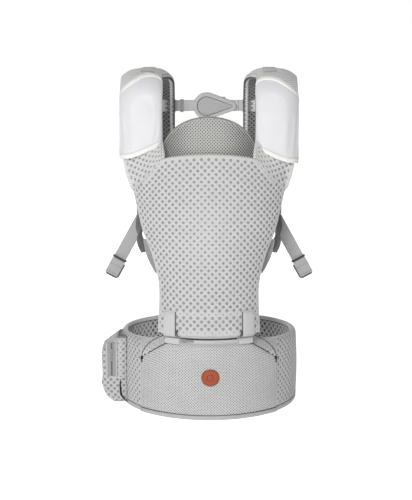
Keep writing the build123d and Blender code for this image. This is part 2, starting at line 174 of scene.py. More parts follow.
# ---- meshes ----
def make(name, points, faces, body, slot, materials, uvs=None, face_materials=None, smooth=True):
    """A mesh piece from points in mm, which rides on a body."""
    mesh = bpy.data.meshes.new(name)
    mesh.from_pydata((np.asarray(points) * MM).tolist(), [], [tuple(map(int, f)) for f in faces])
    if uvs is not None:
        layer = mesh.uv_layers.new(name="mm")
        loops = np.empty(len(mesh.loops), int)
        mesh.loops.foreach_get("vertex_index", loops)
        layer.data.foreach_set("uv", (np.asarray(uvs, float)[loops] / 10).astype(np.float32).ravel())
    piece = bpy.data.objects.new(name, mesh)
    bpy.context.scene.collection.objects.link(piece)
    for material in materials if isinstance(materials, (list, tuple)) else [materials]:
        mesh.materials.append(material)
    if face_materials is not None:
        mesh.polygons.foreach_set("material_index", np.asarray(face_materials, np.int32))
    mesh.polygons.foreach_set("use_smooth", np.full(len(mesh.polygons), smooth))
    mesh.validate()
    mesh.update()
    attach(piece, body)
    return piece


def between(low, high):
    """Edges of a strip of one width."""
    return lambda t: (np.full(np.shape(t), float(low)), np.full(np.shape(t), float(high)))


def grid_faces(rows, columns, wrap_rows=False, wrap_columns=False, start=0):
    """Quads of a grid of points, which may close on itself either way."""
    i = np.arange(rows if wrap_rows else rows - 1)
    j = np.arange(columns if wrap_columns else columns - 1)
    i, j = [a.ravel() for a in np.meshgrid(i, j, indexing="ij")]
    i2, j2 = (i + 1) % rows, (j + 1) % columns
    return np.stack([i * columns + j, i2 * columns + j, i2 * columns + j2, i * columns + j2], axis=1) + start


def shell(name, surface, s_of, t_range, cells, thick, body, slot, material, top=0.0, quilt=None):
    """A closed sheet over a surface: s_of(t) gives its two edges, and thick goes inwards from top.
    quilt is (how far its inner face may swell, where that face is sewn down)."""
    columns, rows = cells
    t = np.linspace(*t_range, rows)[:, None]
    low, high = s_of(t)
    u = np.linspace(0, 1, columns)[None, :]
    s = low + (high - low) * u
    t = np.broadcast_to(t, s.shape)
    lift = top(s, t) if callable(top) else np.full(s.shape, float(top))
    outer = on(surface, s, t, lift)
    inner = on(surface, s, t, (lift if not callable(top) else np.zeros(s.shape)) - thick)
    count = rows * columns
    faces = [grid_faces(rows, columns)[:, ::-1], grid_faces(rows, columns, start=count)]
    index = np.arange(count).reshape(rows, columns)
    rim = np.concatenate([index[0, :], index[1:, -1], index[-1, -2::-1], index[-2:0:-1, 0]])
    following = np.roll(rim, -1)
    faces.append(np.stack([rim, rim + count, following + count, following], axis=1)[:, ::-1])
    faces = np.concatenate(faces)
    points = np.concatenate([outer.reshape(-1, 3), inner.reshape(-1, 3)])
    if quilt:
        most, seam = quilt
        sewn = seam(s, t)
        sewn[[0, -1]], sewn[:, [0, -1]] = True, True
        points = inflate(points, faces, np.concatenate([np.arange(count), count + np.flatnonzero(sewn.ravel())]), most)
    uvs = np.stack([s.ravel(), t.ravel()], axis=1)
    return make(name, points, faces, body, slot, material, np.concatenate([uvs, uvs]))


def net(name, surface, s_of, t_range, pitch, hole, body, slot, materials, depth_in=1.6, puff=0.35, corners=12,
        fade=None):
    """Air mesh: a sheet of staggered cells, each with a real hole of radius hole, puffed between the holes.
    materials are those of its face and of the holes' walls, and fade(s, t) scales the holes."""
    row = pitch / 2
    t_low, t_high = t_range
    centres = []
    for j in range(int((t_high - t_low) / row) + 2):
        t = t_low + j * row
        low, high = [float(v) for v in s_of(np.array(min(max(t, t_low), t_high)))]
        first, last = int(low // pitch) - 1, int(high // pitch) + 1
        centres += [((i + 0.5 * (j % 2)) * pitch, t) for i in range(first, last + 1)]
    centres = np.array(centres)
    diamond = np.array([(1, 0), (0, 1), (-1, 0), (0, -1), (1, 0)], float)
    per_side = corners // 4
    share = (np.arange(corners) % per_side)[:, None] / per_side
    side = np.arange(corners) // per_side
    edge = (diamond[side] * (1 - share) + diamond[side + 1] * share) * [pitch / 2, row]
    angle = np.arctan2(edge[:, 1], edge[:, 0])
    circle = np.stack([np.cos(angle), np.sin(angle)], axis=1)
    size = np.full(len(centres), hole) if fade is None else hole * fade(centres[:, 0], centres[:, 1])
    rim = circle[None] * size[:, None, None]
    middle = edge[None] * 0.45 + rim * 0.62
    rings = [np.broadcast_to(edge[None], rim.shape), middle, rim, rim * 0.9]
    heights = [puff, puff * 0.75, -0.15, -depth_in]
    flat = np.concatenate([(centres[:, None] + ring).reshape(-1, 2) for ring in rings])
    height = np.repeat(heights, len(centres) * corners)
    flat[:, 1] = np.clip(flat[:, 1], t_low, t_high)
    low, high = s_of(flat[:, 1])
    flat[:, 0] = np.clip(flat[:, 0], low, high)
    total = len(centres) * corners
    shared = np.round(flat[:total] * 200).astype(np.int64)
    _, first, back = np.unique(shared, axis=0, return_index=True, return_inverse=True)
    back = back.ravel()
    remap = np.concatenate([back, len(first) + np.arange(3 * total)])
    flat = np.concatenate([flat[:total][first], flat[total:]])
    height = np.concatenate([height[:total][first], height[total:]])
    index = np.arange(total).reshape(-1, corners)
    turned = np.roll(index, -1, axis=1)
    faces = []
    for ring in range(3):
        a, b = remap[index + ring * total], remap[turned + ring * total]
        c, d = remap[turned + (ring + 1) * total], remap[index + (ring + 1) * total]
        faces.append(np.stack([a, b, c, d], axis=2).reshape(-1, 4))
    wall = np.repeat([0, 0, 1], total)
    faces = np.concatenate(faces)
    corner = flat[faces]
    area = 0.5 * np.abs(np.cross(corner[:, 2] - corner[:, 0], corner[:, 3] - corner[:, 1]))
    level = np.ptp(height[faces], axis=1) > 0.5
    span = np.ptp(corner, axis=1).max(axis=1)
    keep = (area > SLIVER) | (level & (span > WALL_SPAN))
    inside = np.ptp(corner[:, :2], axis=1).max(axis=1) > SLIVER
    faces, wall = faces[keep & inside], wall[keep & inside]
    used, faces = np.unique(faces, return_inverse=True)
    faces = faces.reshape(-1, 4)
    flat, height = flat[used], height[used]
    points = on(surface, flat[:, 0], flat[:, 1], height)
    corner = points[faces]
    size = np.linalg.norm(np.cross(corner[:, 2] - corner[:, 0], corner[:, 3] - corner[:, 1]), axis=1)
    faces, wall = faces[size > SLIVER], wall[size > SLIVER]
    return make(name, points, faces, body, slot, materials, flat, wall)


def sweep(name, centre, across, up, profile, body, slot, material, closed=False, smooth=True):
    """A closed profile of (across, up) carried along a line of points with its own frame at each."""
    centre = np.asarray(centre, float)
    across, up = [np.broadcast_to(np.asarray(a, float), centre.shape) for a in (across, up)]
    profile = np.asarray(profile, float)
    if profile.ndim == 2:
        profile = np.broadcast_to(profile, (len(centre), *profile.shape))
    points = centre[:, None] + across[:, None] * profile[..., :1] + up[:, None] * profile[..., 1:]
    rows, columns = points.shape[:2]
    faces = [list(f) for f in grid_faces(rows, columns, wrap_rows=closed, wrap_columns=True)]
    if not closed:
        faces.append(list(range(columns)))
        faces.append(list(range((rows - 1) * columns, rows * columns))[::-1])
    uvs = np.stack(np.meshgrid(distances(profile[0]), distances(centre)), axis=-1).reshape(-1, 2)
    return make(name, points.reshape(-1, 3), faces, body, slot, material, uvs, smooth=smooth)


def round_bar(width, thick, corner=None):
    """Profile of a flat bar with rounded edges."""
    corner = min(width, thick) / 2 * 0.98 if corner is None else corner
    points = []
    for cx, cy, start in ((1, 1, 0), (-1, 1, 90), (-1, -1, 180), (1, -1, 270)):
        for turn in (0, 22.5, 45, 67.5, 90):
            a = math.radians(start + turn)
            points.append((cx * (width / 2 - corner) + corner * math.cos(a),
                           cy * (thick / 2 - corner) + corner * math.sin(a)))
    return np.array(points)


def oval(a, b, count=10):
    """Profile of an oval."""
    turn = np.arange(count) / count * 2 * math.pi
    return np.stack([a * np.cos(turn), b * np.sin(turn)], axis=1)


def tapered(profile, width, height):
    """A profile at many stations, each scaled by a width and a height."""
    return profile[None] * np.stack(np.broadcast_arrays(width, height), axis=1)[:, None]


def ribbon(name, points, across, width, thick, body, slot, material, step=3.0):
    """Flat webbing along a line, its width along across (one direction, or one for each point)."""
    points = np.asarray(points, float)
    across = np.broadcast_to(np.asarray(across, float), points.shape)
    both = even(np.concatenate([points, across * 1e-3], axis=1), step)
    centre, across = both[:, :3], unit(both[:, 3:])
    way = unit(np.gradient(centre, axis=0))
    across = unit(across - way * np.sum(across * way, axis=1, keepdims=True))
    up = np.cross(way, across)
    return sweep(name, centre, across, up, round_bar(width, thick), body, slot, material)


def stitches(name, line, normal, body, slot, material, pitch=3.4, length=2.3, radius=0.32, turned=False):
    """A row of thread stitches along a line, lying on a surface whose outside is normal; turned ones lie across it."""
    rail = Rail(line)
    normals = Rail(np.concatenate([rail.points, np.broadcast_to(normal, rail.points.shape)], axis=1))
    count = max(1, int(rail.length / pitch))
    shape = np.array([(-1, 0.0), (-0.8, 0.7), (-0.35, 1.0), (0.35, 1.0), (0.8, 0.7), (1, 0.0)])
    turn = np.arange(6) / 6 * 2 * math.pi
    points, faces = [], []
    for k in range(count):
        at = (k + 0.5) * rail.length / count
        centre, way = rail.at(at), rail.way(at)
        along = np.stack([np.interp(at, rail.along, normals.points[:, 3 + c]) for c in range(3)])
        out = unit(along - way * (along @ way))
        beside = np.cross(way, out)
        if turned:
            way, beside = beside, -way
        start = len(points) * 36
        ring = [
            centre + way * (x * length / 2) + (np.cos(a) * beside + np.sin(a) * out) * (r * radius + 0.02)
            for x, r in shape
            for a in turn
        ]
        points.append(np.array(ring))
        faces.append(grid_faces(6, 6, wrap_columns=True, start=start))
    return make(name, np.concatenate(points), np.concatenate(faces), body, slot, material)


# ---- materials ----
class Value:
    """A shader value, on which + - and * make nodes."""

    def __init__(self, shader, socket):
        self.shader, self.socket = shader, socket

    def __add__(self, other):
        return self.shader.math("ADD", self, other)

    def __sub__(self, other):
        return self.shader.math("SUBTRACT", self, other)

    def __mul__(self, other):
        return self.shader.math("MULTIPLY", self, other)


class Shader:
    """A material's nodes, made one after another."""

    def __init__(self, name):
        self.material = bpy.data.materials.new(name)
        self.material.use_nodes = True
        self.tree = self.material.node_tree
        self.bsdf = self.tree.nodes["Principled BSDF"]

    def node(self, kind, inputs=(), **settings):
        node = self.tree.nodes.new(kind)
        for key, value in settings.items():
            setattr(node, key, value)
        for key, value in dict(inputs).items():
            self.feed(node.inputs[key], value)
        return node

    def feed(self, socket, value):
        value = value.socket if isinstance(value, Value) else value
        if isinstance(value, bpy.types.NodeSocket):
            self.tree.links.new(value, socket)
        else:
            socket.default_value = value

    def math(self, operation, a, b=0.0):
        return Value(self, self.node("ShaderNodeMath", {0: a, 1: b}, operation=operation).outputs[0])

    def wave(self, x, pitch):
        """0 to 1 and back once a pitch."""
        return (self.math("SINE", x * (2 * math.pi / pitch) + 0.0) + 1.0) * 0.5

    def noise(self, where, scale, detail=2.0):
        found = self.node("ShaderNodeTexNoise", {"Vector": where, "Scale": scale, "Detail": detail})
        return Value(self, found.outputs["Fac"])

    def paint(self, colour, level, height, strength, distance):
        """Colours the surface, lighter or darker by level, and raises it by height."""
        tint = self.node("ShaderNodeMix", data_type="RGBA", blend_type="MULTIPLY")
        self.feed(tint.inputs["Factor"], 1.0)
        self.feed(tint.inputs["A"], tone(colour))
        grey = self.node("ShaderNodeCombineColor", {0: level, 1: level, 2: level})
        self.feed(tint.inputs["B"], grey.outputs[0])
        self.feed(self.bsdf.inputs["Base Color"], tint.outputs["Result"])
        height = height() if callable(height) else height
        lift = self.node("ShaderNodeBump", {"Strength": strength, "Distance": distance, "Height": height})
        self.feed(self.bsdf.inputs["Normal"], lift.outputs[0])

    def set(self, **values):
        """Feeds the surface's inputs; _ in a name stands for a space."""
        for name, value in values.items():
            self.feed(self.bsdf.inputs[name.replace("_", " ")], value)


def tone(value):
    """Linear colour of a screen grey, or of a screen red, green and blue, from 0 to 255."""
    values = [value] * 3 if np.isscalar(value) else value
    return tuple((v / 255) ** 2.2 for v in values) + (1.0,)


def weave_height(shader, weave, pitch, x, y):
    """How high the thread stands, 0 to 1, at x and y in mm."""
    wave = shader.wave
    if weave == "twill":
        cord = wave(x + y, pitch)
        return cord * wave(x - y, pitch * 0.5)
    if weave == "stripe":
        return wave(x - y, pitch)
    if weave == "rib":
        return wave(y, pitch) * 0.8 + 0.1
    if weave == "webbing":
        cord = wave(y + shader.math("PINGPONG", x, 4.0) * 0.6, pitch)
        return cord * 0.7 + wave(x, 1.4) * 0.3
    if weave == "ripple":
        return wave(y + shader.math("SINE", x * 0.42) * 1.5, pitch)
    if weave == "dots":
        a = wave(x + y, pitch)
        return shader.math("MAXIMUM", a, wave(x - y, pitch))
    return wave(x, pitch) * wave(y, pitch)


def fabric(name, colour, weave="plain", pitch=0.9, depth_share=0.25, bump=0.5, rough=0.85, sheen=0.25, flat=False):
    """Woven or knitted cloth. flat reads the weave from the mesh's own place instead of its cloth coordinates."""
    shader = Shader(name)
    where = shader.node("ShaderNodeTexCoord")
    place = where.outputs["Object"]
    parts = shader.node("ShaderNodeSeparateXYZ", {0: place if flat else where.outputs["UV"]})
    to_mm = 1000.0 if flat else 10.0
    x = Value(shader, parts.outputs[0]) * to_mm
    y = Value(shader, parts.outputs[2 if flat else 1]) * to_mm
    height = weave_height(shader, weave, pitch, x, y)
    blotch = (shader.noise(place, 28.0) - 0.5) * 0.10
    fuzz = (shader.noise(place, 900.0, 3.0) - 0.5) * 0.16
    level = height * depth_share + (1.0 - depth_share * 0.75) + blotch + fuzz
    shader.paint(colour, level, lambda: height + fuzz * 1.5, bump, 0.0004)
    shader.set(Roughness=rough, Sheen_Weight=sheen, Sheen_Roughness=0.5, Specular_IOR_Level=0.25)
    return shader.material


def hard(name, colour, rough, metal=0.0, grain=0.25, grain_size=1400.0, wear=0.06):
    """Moulded plastic, painted metal or leather: a fine grain, and edges worn lighter."""
    shader = Shader(name)
    place = shader.node("ShaderNodeTexCoord").outputs["Object"]
    fine = shader.noise(place, grain_size, 4.0)
    broad = shader.noise(place, 60.0)
    edge = Value(shader, shader.node("ShaderNodeNewGeometry").outputs["Pointiness"])
    worn = (edge - 0.5) * (wear * 10)
    level = (broad - 0.5) * 0.18 + worn
    level = level + fine * 0.12 + 0.94
    shader.paint(colour, level, fine, grain, 0.0002)
    shader.set(Roughness=broad * 0.15 + (rough - 0.07), Metallic=metal)
    return shader.material


PANEL_FACE = fabric("panel air mesh", 222, "plain", 0.8, 0.12, 0.35)
PANEL_WALL = fabric("panel mesh threads", 176, "rib", 0.5, 0.2, 0.4)
PANEL_BACK = fabric("panel spacer layer", 186, "plain", 1.1, 0.25)
BELT_MESH_FACE = fabric("belt air mesh", 216, "plain", 0.8, 0.15, 0.35)
BELT_MESH_WALL = fabric("belt mesh threads", 165, "rib", 0.5, 0.2, 0.4)
BELT_MESH_BACK = fabric("belt spacer layer", 165, "plain", 1.1, 0.25)
BELT_IN_FACE = fabric("belt lining mesh", 212, "plain", 0.8, 0.15, 0.35)
BELT_IN_BACK = fabric("belt lining spacer", 116, "plain", 1.1, 0.25)
SEAT_FACE = fabric("seat fine mesh", 232, "twill", 5.6, 0.22, 0.8)
SEAT_WALL = fabric("seat mesh threads", 150, "rib", 0.5, 0.2, 0.4)
SEAT_BACK = fabric("seat cover backing", 150, "twill", 5.6, 0.3, 0.8)
LINING = fabric("lining knit", 222, "dots", 2.2, 0.2, 0.6)
HEAD_FACE = fabric("headrest fine mesh", (206, 206, 203), "plain", 0.7, 0.15, 0.3)
HEAD_EDGE = fabric("headrest edge", (150, 150, 147), "rib", 1.2, 0.2, 0.4)
HEAD_WALL = fabric("headrest mesh threads", 112, "rib", 0.5, 0.2, 0.3)
HEAD_BACK = fabric("headrest backing", (92, 92, 90), "plain", 1.0, 0.25)
STRAP_FACE = fabric("strap ribbed mesh", 236, "ripple", 4.4, 0.42, 1.0)
STRAP_IN_FACE = fabric("strap inner mesh", 150, "plain", 0.8, 0.2, 0.4)
STRAP_IN_WALL = fabric("strap inner threads", 110, "rib", 0.5, 0.2, 0.4)
STRAP_IN_BACK = fabric("strap inner backing", 88, "plain", 1.1, 0.3)
SATIN = fabric("white satin", (238, 238, 241), "plain", 0.35, 0.03, 0.08, rough=0.5, sheen=0.5)
CREAM = fabric("cream hem", (255, 254, 250), "rib", 0.6, 0.05, 0.3, rough=0.6)
WEBBING = fabric("grey webbing", 192, "webbing", 1.8, 0.3, 0.8, rough=0.7)
CROSS_WEB = fabric("cross strap webbing", 232, "webbing", 1.8, 0.3, 0.8, rough=0.7)
# A darker copy of the grey webbing: painted shade on the tongue and the adjuster, whose loose tail keeps the lit
# colour; also the pocket zip's coils.
SHADED_WEBBING_AND_COIL = fabric("webbing in painted shade and zip coil", 126, "webbing", 1.5, 0.3, 0.8, rough=0.7)
BIND = fabric("binding tape", 222, "rib", 1.2, 0.2, 0.6, rough=0.75)
FOOT_BIND = fabric("foot binding tape", 200, "rib", 1.2, 0.2, 0.6, rough=0.75)
GUSSET = fabric("gusset cloth", 166, "plain", 0.8, 0.15, 0.4)
TAB = fabric("corner tab cloth", 220, "plain", 0.7, 0.1, 0.4)
TAPE = fabric("zip tape", 216, "rib", 0.8, 0.2, 0.6, rough=0.8)
ZIP_DARK = fabric("pocket zip tape", 176, "rib", 0.8, 0.2, 0.6, rough=0.8)
THREAD = fabric("sewing thread", 168, "rib", 0.5, 0.2, 0.5, flat=True)
# Near-black cloth for the cords and wedges in creases and folds: painted shade where the cloth folds in.
PAINTED_FOLD_SHADE = fabric("painted fold shadow", 34, "rib", 0.8, 0.2, 0.4, flat=True)
# Dark grey cord: real dark stitches on the webbing and the cross strap, and painted shade in the lines along bindings,
# tab and flap edges and the folded tail end.
DARK_THREAD_AND_SHADE = fabric("dark thread and painted shade", 96, "rib", 0.5, 0.2, 0.5, flat=True)
RIM = fabric("piping", 218, "plain", 0.8, 0.12, 0.4)
TWILL = fabric("insert twill", 206, "stripe", 4.6, 0.42, 1.0)
ELASTIC = fabric("elastic keeper", 84, "rib", 1.0, 0.35, 0.9)
PLASTIC = hard("grey buckle plastic", 132, 0.42, grain=0.3)
METAL = hard("zip slider metal", 150, 0.35, metal=0.7, grain=0.1)
COIL = hard("zip coil nylon", 62, 0.5, grain=0.2)
LEATHER = hard("tan leather", (176, 84, 54), 0.5, grain=0.9, grain_size=700.0)
LEATHER_EDGE = hard("leather edge", (104, 56, 42), 0.6, grain=0.5, grain_size=700.0)
BOARD_GREY = hard("seat board", 150, 0.6)
SIDE_CLOTH = fabric("seat side cloth", 206, "twill", 2.4, 0.2, 0.5, flat=True)
FOAM = fabric("foam skin", 200, "dots", 2.0, 0.2, 0.5, flat=True)


# ---- camera, light and floor ----
def studio():
    """The photograph's view, soft light from the left and a pale floor."""
    lens = bpy.data.cameras.new("camera")
    lens.lens, lens.sensor_width = 104.0, 36.0
    camera = bpy.data.objects.new("camera", lens)
    camera.location = (0, -2.534, 0.727)
    camera.rotation_euler = (math.radians(90 - 10.14), 0, math.radians(0.12))
    bpy.context.scene.collection.objects.link(camera)
    bpy.context.scene.camera = camera
    for name, place, size, power in (
        ("key", (-0.9, -3.2, 1.6), 1.0, 58.0),
        ("fill", (0.2, -3.4, 0.9), 2.0, 5.0),
        ("rear", (-1.0, 2.4, 1.8), 1.6, 26.0),
    ):
        light = bpy.data.lights.new(name, "AREA")
        light.size, light.energy = size, power
        lamp = bpy.data.objects.new(name, light)
        lamp.location = place
        lamp.rotation_euler = (Vector((0, 0, 0.3)) - Vector(place)).to_track_quat("-Z", "Y").to_euler()
        bpy.context.scene.collection.objects.link(lamp)
    world = bpy.data.worlds.new("world")
    bpy.context.scene.world = world
    world.use_nodes = True

    def seen_white(tree, socket, lighting, seen):
        """Feeds a strength that is lower as light on the object than as background."""
        path = tree.nodes.new("ShaderNodeLightPath")
        mix = tree.nodes.new("ShaderNodeMix")
        mix.data_type = "FLOAT"
        mix.inputs["A"].default_value, mix.inputs["B"].default_value = lighting, seen
        tree.links.new(path.outputs["Is Camera Ray"], mix.inputs["Factor"])
        tree.links.new(mix.outputs["Result"], socket)

    background = world.node_tree.nodes["Background"]
    background.inputs["Color"].default_value = (1, 1, 1, 1)
    seen_white(world.node_tree, background.inputs["Strength"], 0.22, 1.0)
    bpy.context.scene.view_settings.view_transform = "Standard"
    paper = hard("floor", 247, 0.9, grain=0.02, wear=0.0)
    glow = paper.node_tree.nodes["Principled BSDF"]
    glow.inputs["Emission Color"].default_value = (1, 1, 1, 1)
    seen_white(paper.node_tree, glow.inputs["Emission Strength"], 0.32, 0.82)
    mesh = bpy.data.meshes.new("floor")
    ring = [(30 * math.cos(a), 30 * math.sin(a), 0) for a in np.linspace(0, 2 * math.pi, 48, endpoint=False)]
    mesh.from_pydata(ring, [], [tuple(range(48))])
    mesh.materials.append(paper)
    floor = bpy.data.objects.new("floor", mesh)
    bpy.context.scene.collection.objects.link(floor)


studio()


# ---- padded fabric ----
CLOTH_FRAMES = 20
CLOTH_PRESSURE = 4.0
CLOTH_STIFFNESS = 18.0


def inflate(points, faces, pinned, most):
    """Points in mm of a closed padded form after Blender's cloth has swollen it; no point moves more than most."""
    shape = np.asarray(points).shape
    flat = np.asarray(points, float).reshape(-1, 3)
    mesh = bpy.data.meshes.new("cloth")
    mesh.from_pydata((flat * MM).tolist(), [], [tuple(map(int, f)) for f in faces])
    mesh.update()
    cloth = bpy.data.objects.new("cloth", mesh)
    bpy.context.scene.collection.objects.link(cloth)
    group = cloth.vertex_groups.new(name="sewn")
    group.add([int(i) for i in pinned], 1.0, "REPLACE")
    modifier = cloth.modifiers.new("cloth", "CLOTH")
    settings = modifier.settings
    settings.vertex_group_mass = "sewn"
    settings.use_pressure = True
    settings.uniform_pressure_force = CLOTH_PRESSURE
    settings.effector_weights.gravity = 0.0
    settings.quality = 5
    settings.tension_stiffness = settings.compression_stiffness = CLOTH_STIFFNESS
    modifier.point_cache.frame_start, modifier.point_cache.frame_end = 1, CLOTH_FRAMES
    scene = bpy.context.scene
    for frame_number in range(1, CLOTH_FRAMES + 1):
        scene.frame_set(frame_number)
    done = cloth.evaluated_get(bpy.context.evaluated_depsgraph_get())
    moved = np.empty(len(flat) * 3)
    done.data.vertices.foreach_get("co", moved)
    scene.frame_set(1)
    bpy.data.objects.remove(cloth)
    bpy.data.meshes.remove(mesh)
    push = moved.reshape(-1, 3) / MM - flat
    length = np.linalg.norm(push, axis=1, keepdims=True)
    push *= np.minimum(1, most / np.maximum(length, 1e-6))
    return (flat + push).reshape(shape)


# ---- front panel ----
CORNER_X, CORNER_Z = 131.5, 398.0  # where the panel's side meets the strap
PANEL_EDGE = [(150, 88), (245, 88), (283, 98), (324, 114), (364, 124), (CORNER_Z, CORNER_X)]


# The panel's section: its curve turns by PANEL_TURN from the middle (_u = 0) to the edge (_u = 1).
PANEL_TURN = math.radians(60)
_u = np.linspace(0, 1.3, 261)
_turn = PANEL_TURN * (0.62 * _u + 0.38 * _u**4)
_step = _u[1]
PANEL_X = np.concatenate([[0], np.cumsum(np.cos(_turn[:-1] / 2 + _turn[1:] / 2))]) * _step
PANEL_F = np.concatenate([[0], np.cumsum(np.sin(_turn[:-1] / 2 + _turn[1:] / 2))]) * _step
PANEL_REACH = float(np.interp(1.0, _u, PANEL_X))


def panel_scale(z):
    """Length of the panel's curve from its middle to its edge at a height, as if it ran on past the straps."""
    z = np.asarray(z, float)
    x = np.where(z > CORNER_Z, CORNER_X + (z - CORNER_Z) * 0.16, smooth_curve(np.minimum(z, CORNER_Z), PANEL_EDGE))
    return x / PANEL_REACH


def panel_middle(z):
    """Depth of the panel's middle at a height."""
    share = (np.asarray(z, float) - PANEL_BOTTOM) / (PANEL_TOP - PANEL_BOTTOM)
    return PANEL_BOTTOM_F + (PANEL_TOP_F - PANEL_BOTTOM_F) * share


def panel_forward(x, z):
    """Depth of the panel's face at a place in the front view."""
    scale = panel_scale(z)
    u = np.interp(np.abs(x) / scale, PANEL_X, _u)
    return panel_middle(z) - scale * np.interp(u, _u, PANEL_F)


def panel(s, t):
    """The panel's face; its top edge, at t = PANEL_TOP, arches up in the middle."""
    drop = 9.5 * np.clip(np.abs(s) / 84, 0, 1.25) ** 2
    z = t - drop * np.clip((t - PANEL_BOTTOM) / (PANEL_TOP - PANEL_BOTTOM), 0, 1) ** 3
    scale = panel_scale(z)
    u = np.abs(s) / scale
    x = np.sign(s) * scale * np.interp(u, _u, PANEL_X)
    puff = 2.0 * np.sin(np.clip((z - 150) / 306, 0, 1) * math.pi) * np.clip(1 - u**2, 0, 1)
    return point(x, panel_middle(z) - scale * np.interp(u, _u, PANEL_F) - 1.5 + puff, z)


def panel_half(t):
    """Half-width of the panel along its curve."""
    t = np.asarray(t, float)
    x = smooth_curve(np.minimum(t, CORNER_Z), PANEL_EDGE)
    x = np.where(t > CORNER_Z, CORNER_X - (t - CORNER_Z) * (51.5 / 58), x)
    scale = panel_scale(t)
    return scale * np.interp(x / scale, PANEL_X, _u)


def panel_sides(inset):
    """Edges of a layer on the panel, inset from its own."""
    return lambda t: (-(panel_half(t) - inset), panel_half(t) - inset)


def piping(name, line, radius, body, slot, material, closed=False, count=8, step=2.5):
    """A round cord sewn along a line."""
    line = even(np.asarray(line, float), step)
    if closed and np.linalg.norm(line[0] - line[-1]) < step:
        line = line[:-1]
    if closed:
        way = unit(np.roll(line, -1, axis=0) - np.roll(line, 1, axis=0))
    else:
        way = unit(np.gradient(line, axis=0))
    lean = np.where(np.abs(way[:, 1:2]) > 0.9, [[1.0, 0, 0]], [[0, 1.0, 0]])
    across = unit(np.cross(way, lean))
    profile = oval(radius, radius, count)
    return sweep(name, line, across, np.cross(way, across), profile, body, slot, material, closed=closed)


def build_panel():
    """The panel's open mesh, its spacer and quilted lining, and the piping and stitches round them."""

    def margin(s, t):
        near = (t > PANEL_TOP - 6) | (t < PANEL_BOTTOM + 9) | (np.abs(s) > panel_half(t) - 4)
        hem = np.abs(t - 189) < 4
        soft = 1.08 - 0.42 * np.exp(-((s / 55) ** 2 + ((t - 330) / 90) ** 2))
        return np.where(near, 0.35, np.where(hem, 0.45, soft))

    net("panel_mesh_face", panel, panel_sides(0.6), (PANEL_BOTTOM + 1.5, PANEL_TOP), 12.4, 2.5,
        "panel", "panel_mesh", [PANEL_FACE, PANEL_WALL], fade=margin)
    back = shell("panel_spacer", panel, panel_sides(0.8), (PANEL_BOTTOM + 1, PANEL_TOP - 1), (80, 70), 1.5,
                 "panel", "panel_mesh", PANEL_BACK, top=-1.9)
    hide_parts("panel_mesh")
    rows_of_seams = np.arange(PANEL_BOTTOM + 48, PANEL_TOP - 20, 50.0)

    def quilted(s, t):
        upright = np.abs(np.abs(s) / panel_half(t) - 0.36) < 0.014
        level = np.abs(t[..., None] - rows_of_seams).min(axis=-1) < 1.6
        return upright | level

    lining = shell("panel_lining_pad", panel, panel_sides(0.5), (PANEL_BOTTOM, PANEL_TOP - 0.5), (88, 120), 4.4,
                   "panel", "lining", LINING, top=-3.6, quilt=(3.2, quilted))
    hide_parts("panel_lining")
    t = np.linspace(PANEL_BOTTOM + 1, CORNER_Z - 1, 110)
    half = panel_half(t) - 1.4
    for label, side in SIDES.items():
        piping(f"panel_side_edge_{label}", on(panel, side * half, t, -3.6), 3.7, "panel", "panel_mesh",
               PANEL_FACE, count=12)
    s = np.linspace(-panel_half(PANEL_TOP), panel_half(PANEL_TOP), 90)
    piping("panel_top_edge", on(panel, s, PANEL_TOP - 1.5, -3.6), 3.7, "panel", "panel_mesh", PANEL_FACE, count=12)
    piping("panel_foot_edge", on(panel, np.linspace(-88, 88, 90), PANEL_BOTTOM + 3.2, -3.4), 3.2, "panel",
           "panel_mesh", PANEL_FACE, count=12)
    stitches("panel_hem_stitches", on(panel, np.linspace(-82, 82, 60), 189.0, 0.2), FRONT, "panel",
             "panel_mesh", RIM)


build_panel()

# ---- shoulder straps ----
strap_rail = Rail(fillet_path(STRAP_PATH, STRAP_BEND))


def strap_frame(t):
    """Depth and height on a strap's middle line, and its outward direction."""
    t = np.asarray(t, float)
    inside = np.clip(t, 0, strap_rail.length)
    at, way = strap_rail.at(inside), strap_rail.way(inside)
    at = at + way * (t - inside)[..., None]
    return at, np.stack([way[..., 1], -way[..., 0]], axis=-1)


def strap_centre(forward):
    """Distance of a strap's middle line from the carrier's middle; the straps draw together behind."""
    return STRAP_MIDDLE - STRAP_SHIFT * (1 - smooth_step(forward, -40, 55))


SEAM_LENGTH = 112.0  # of strap path, over which the strap turns from the panel's seam to its own width
seam_t = np.linspace(PANEL_TOP, CORNER_Z, 30)
SEAM = panel(panel_half(seam_t), seam_t)
SEAM_SHARE = np.linspace(0, 1, 30)


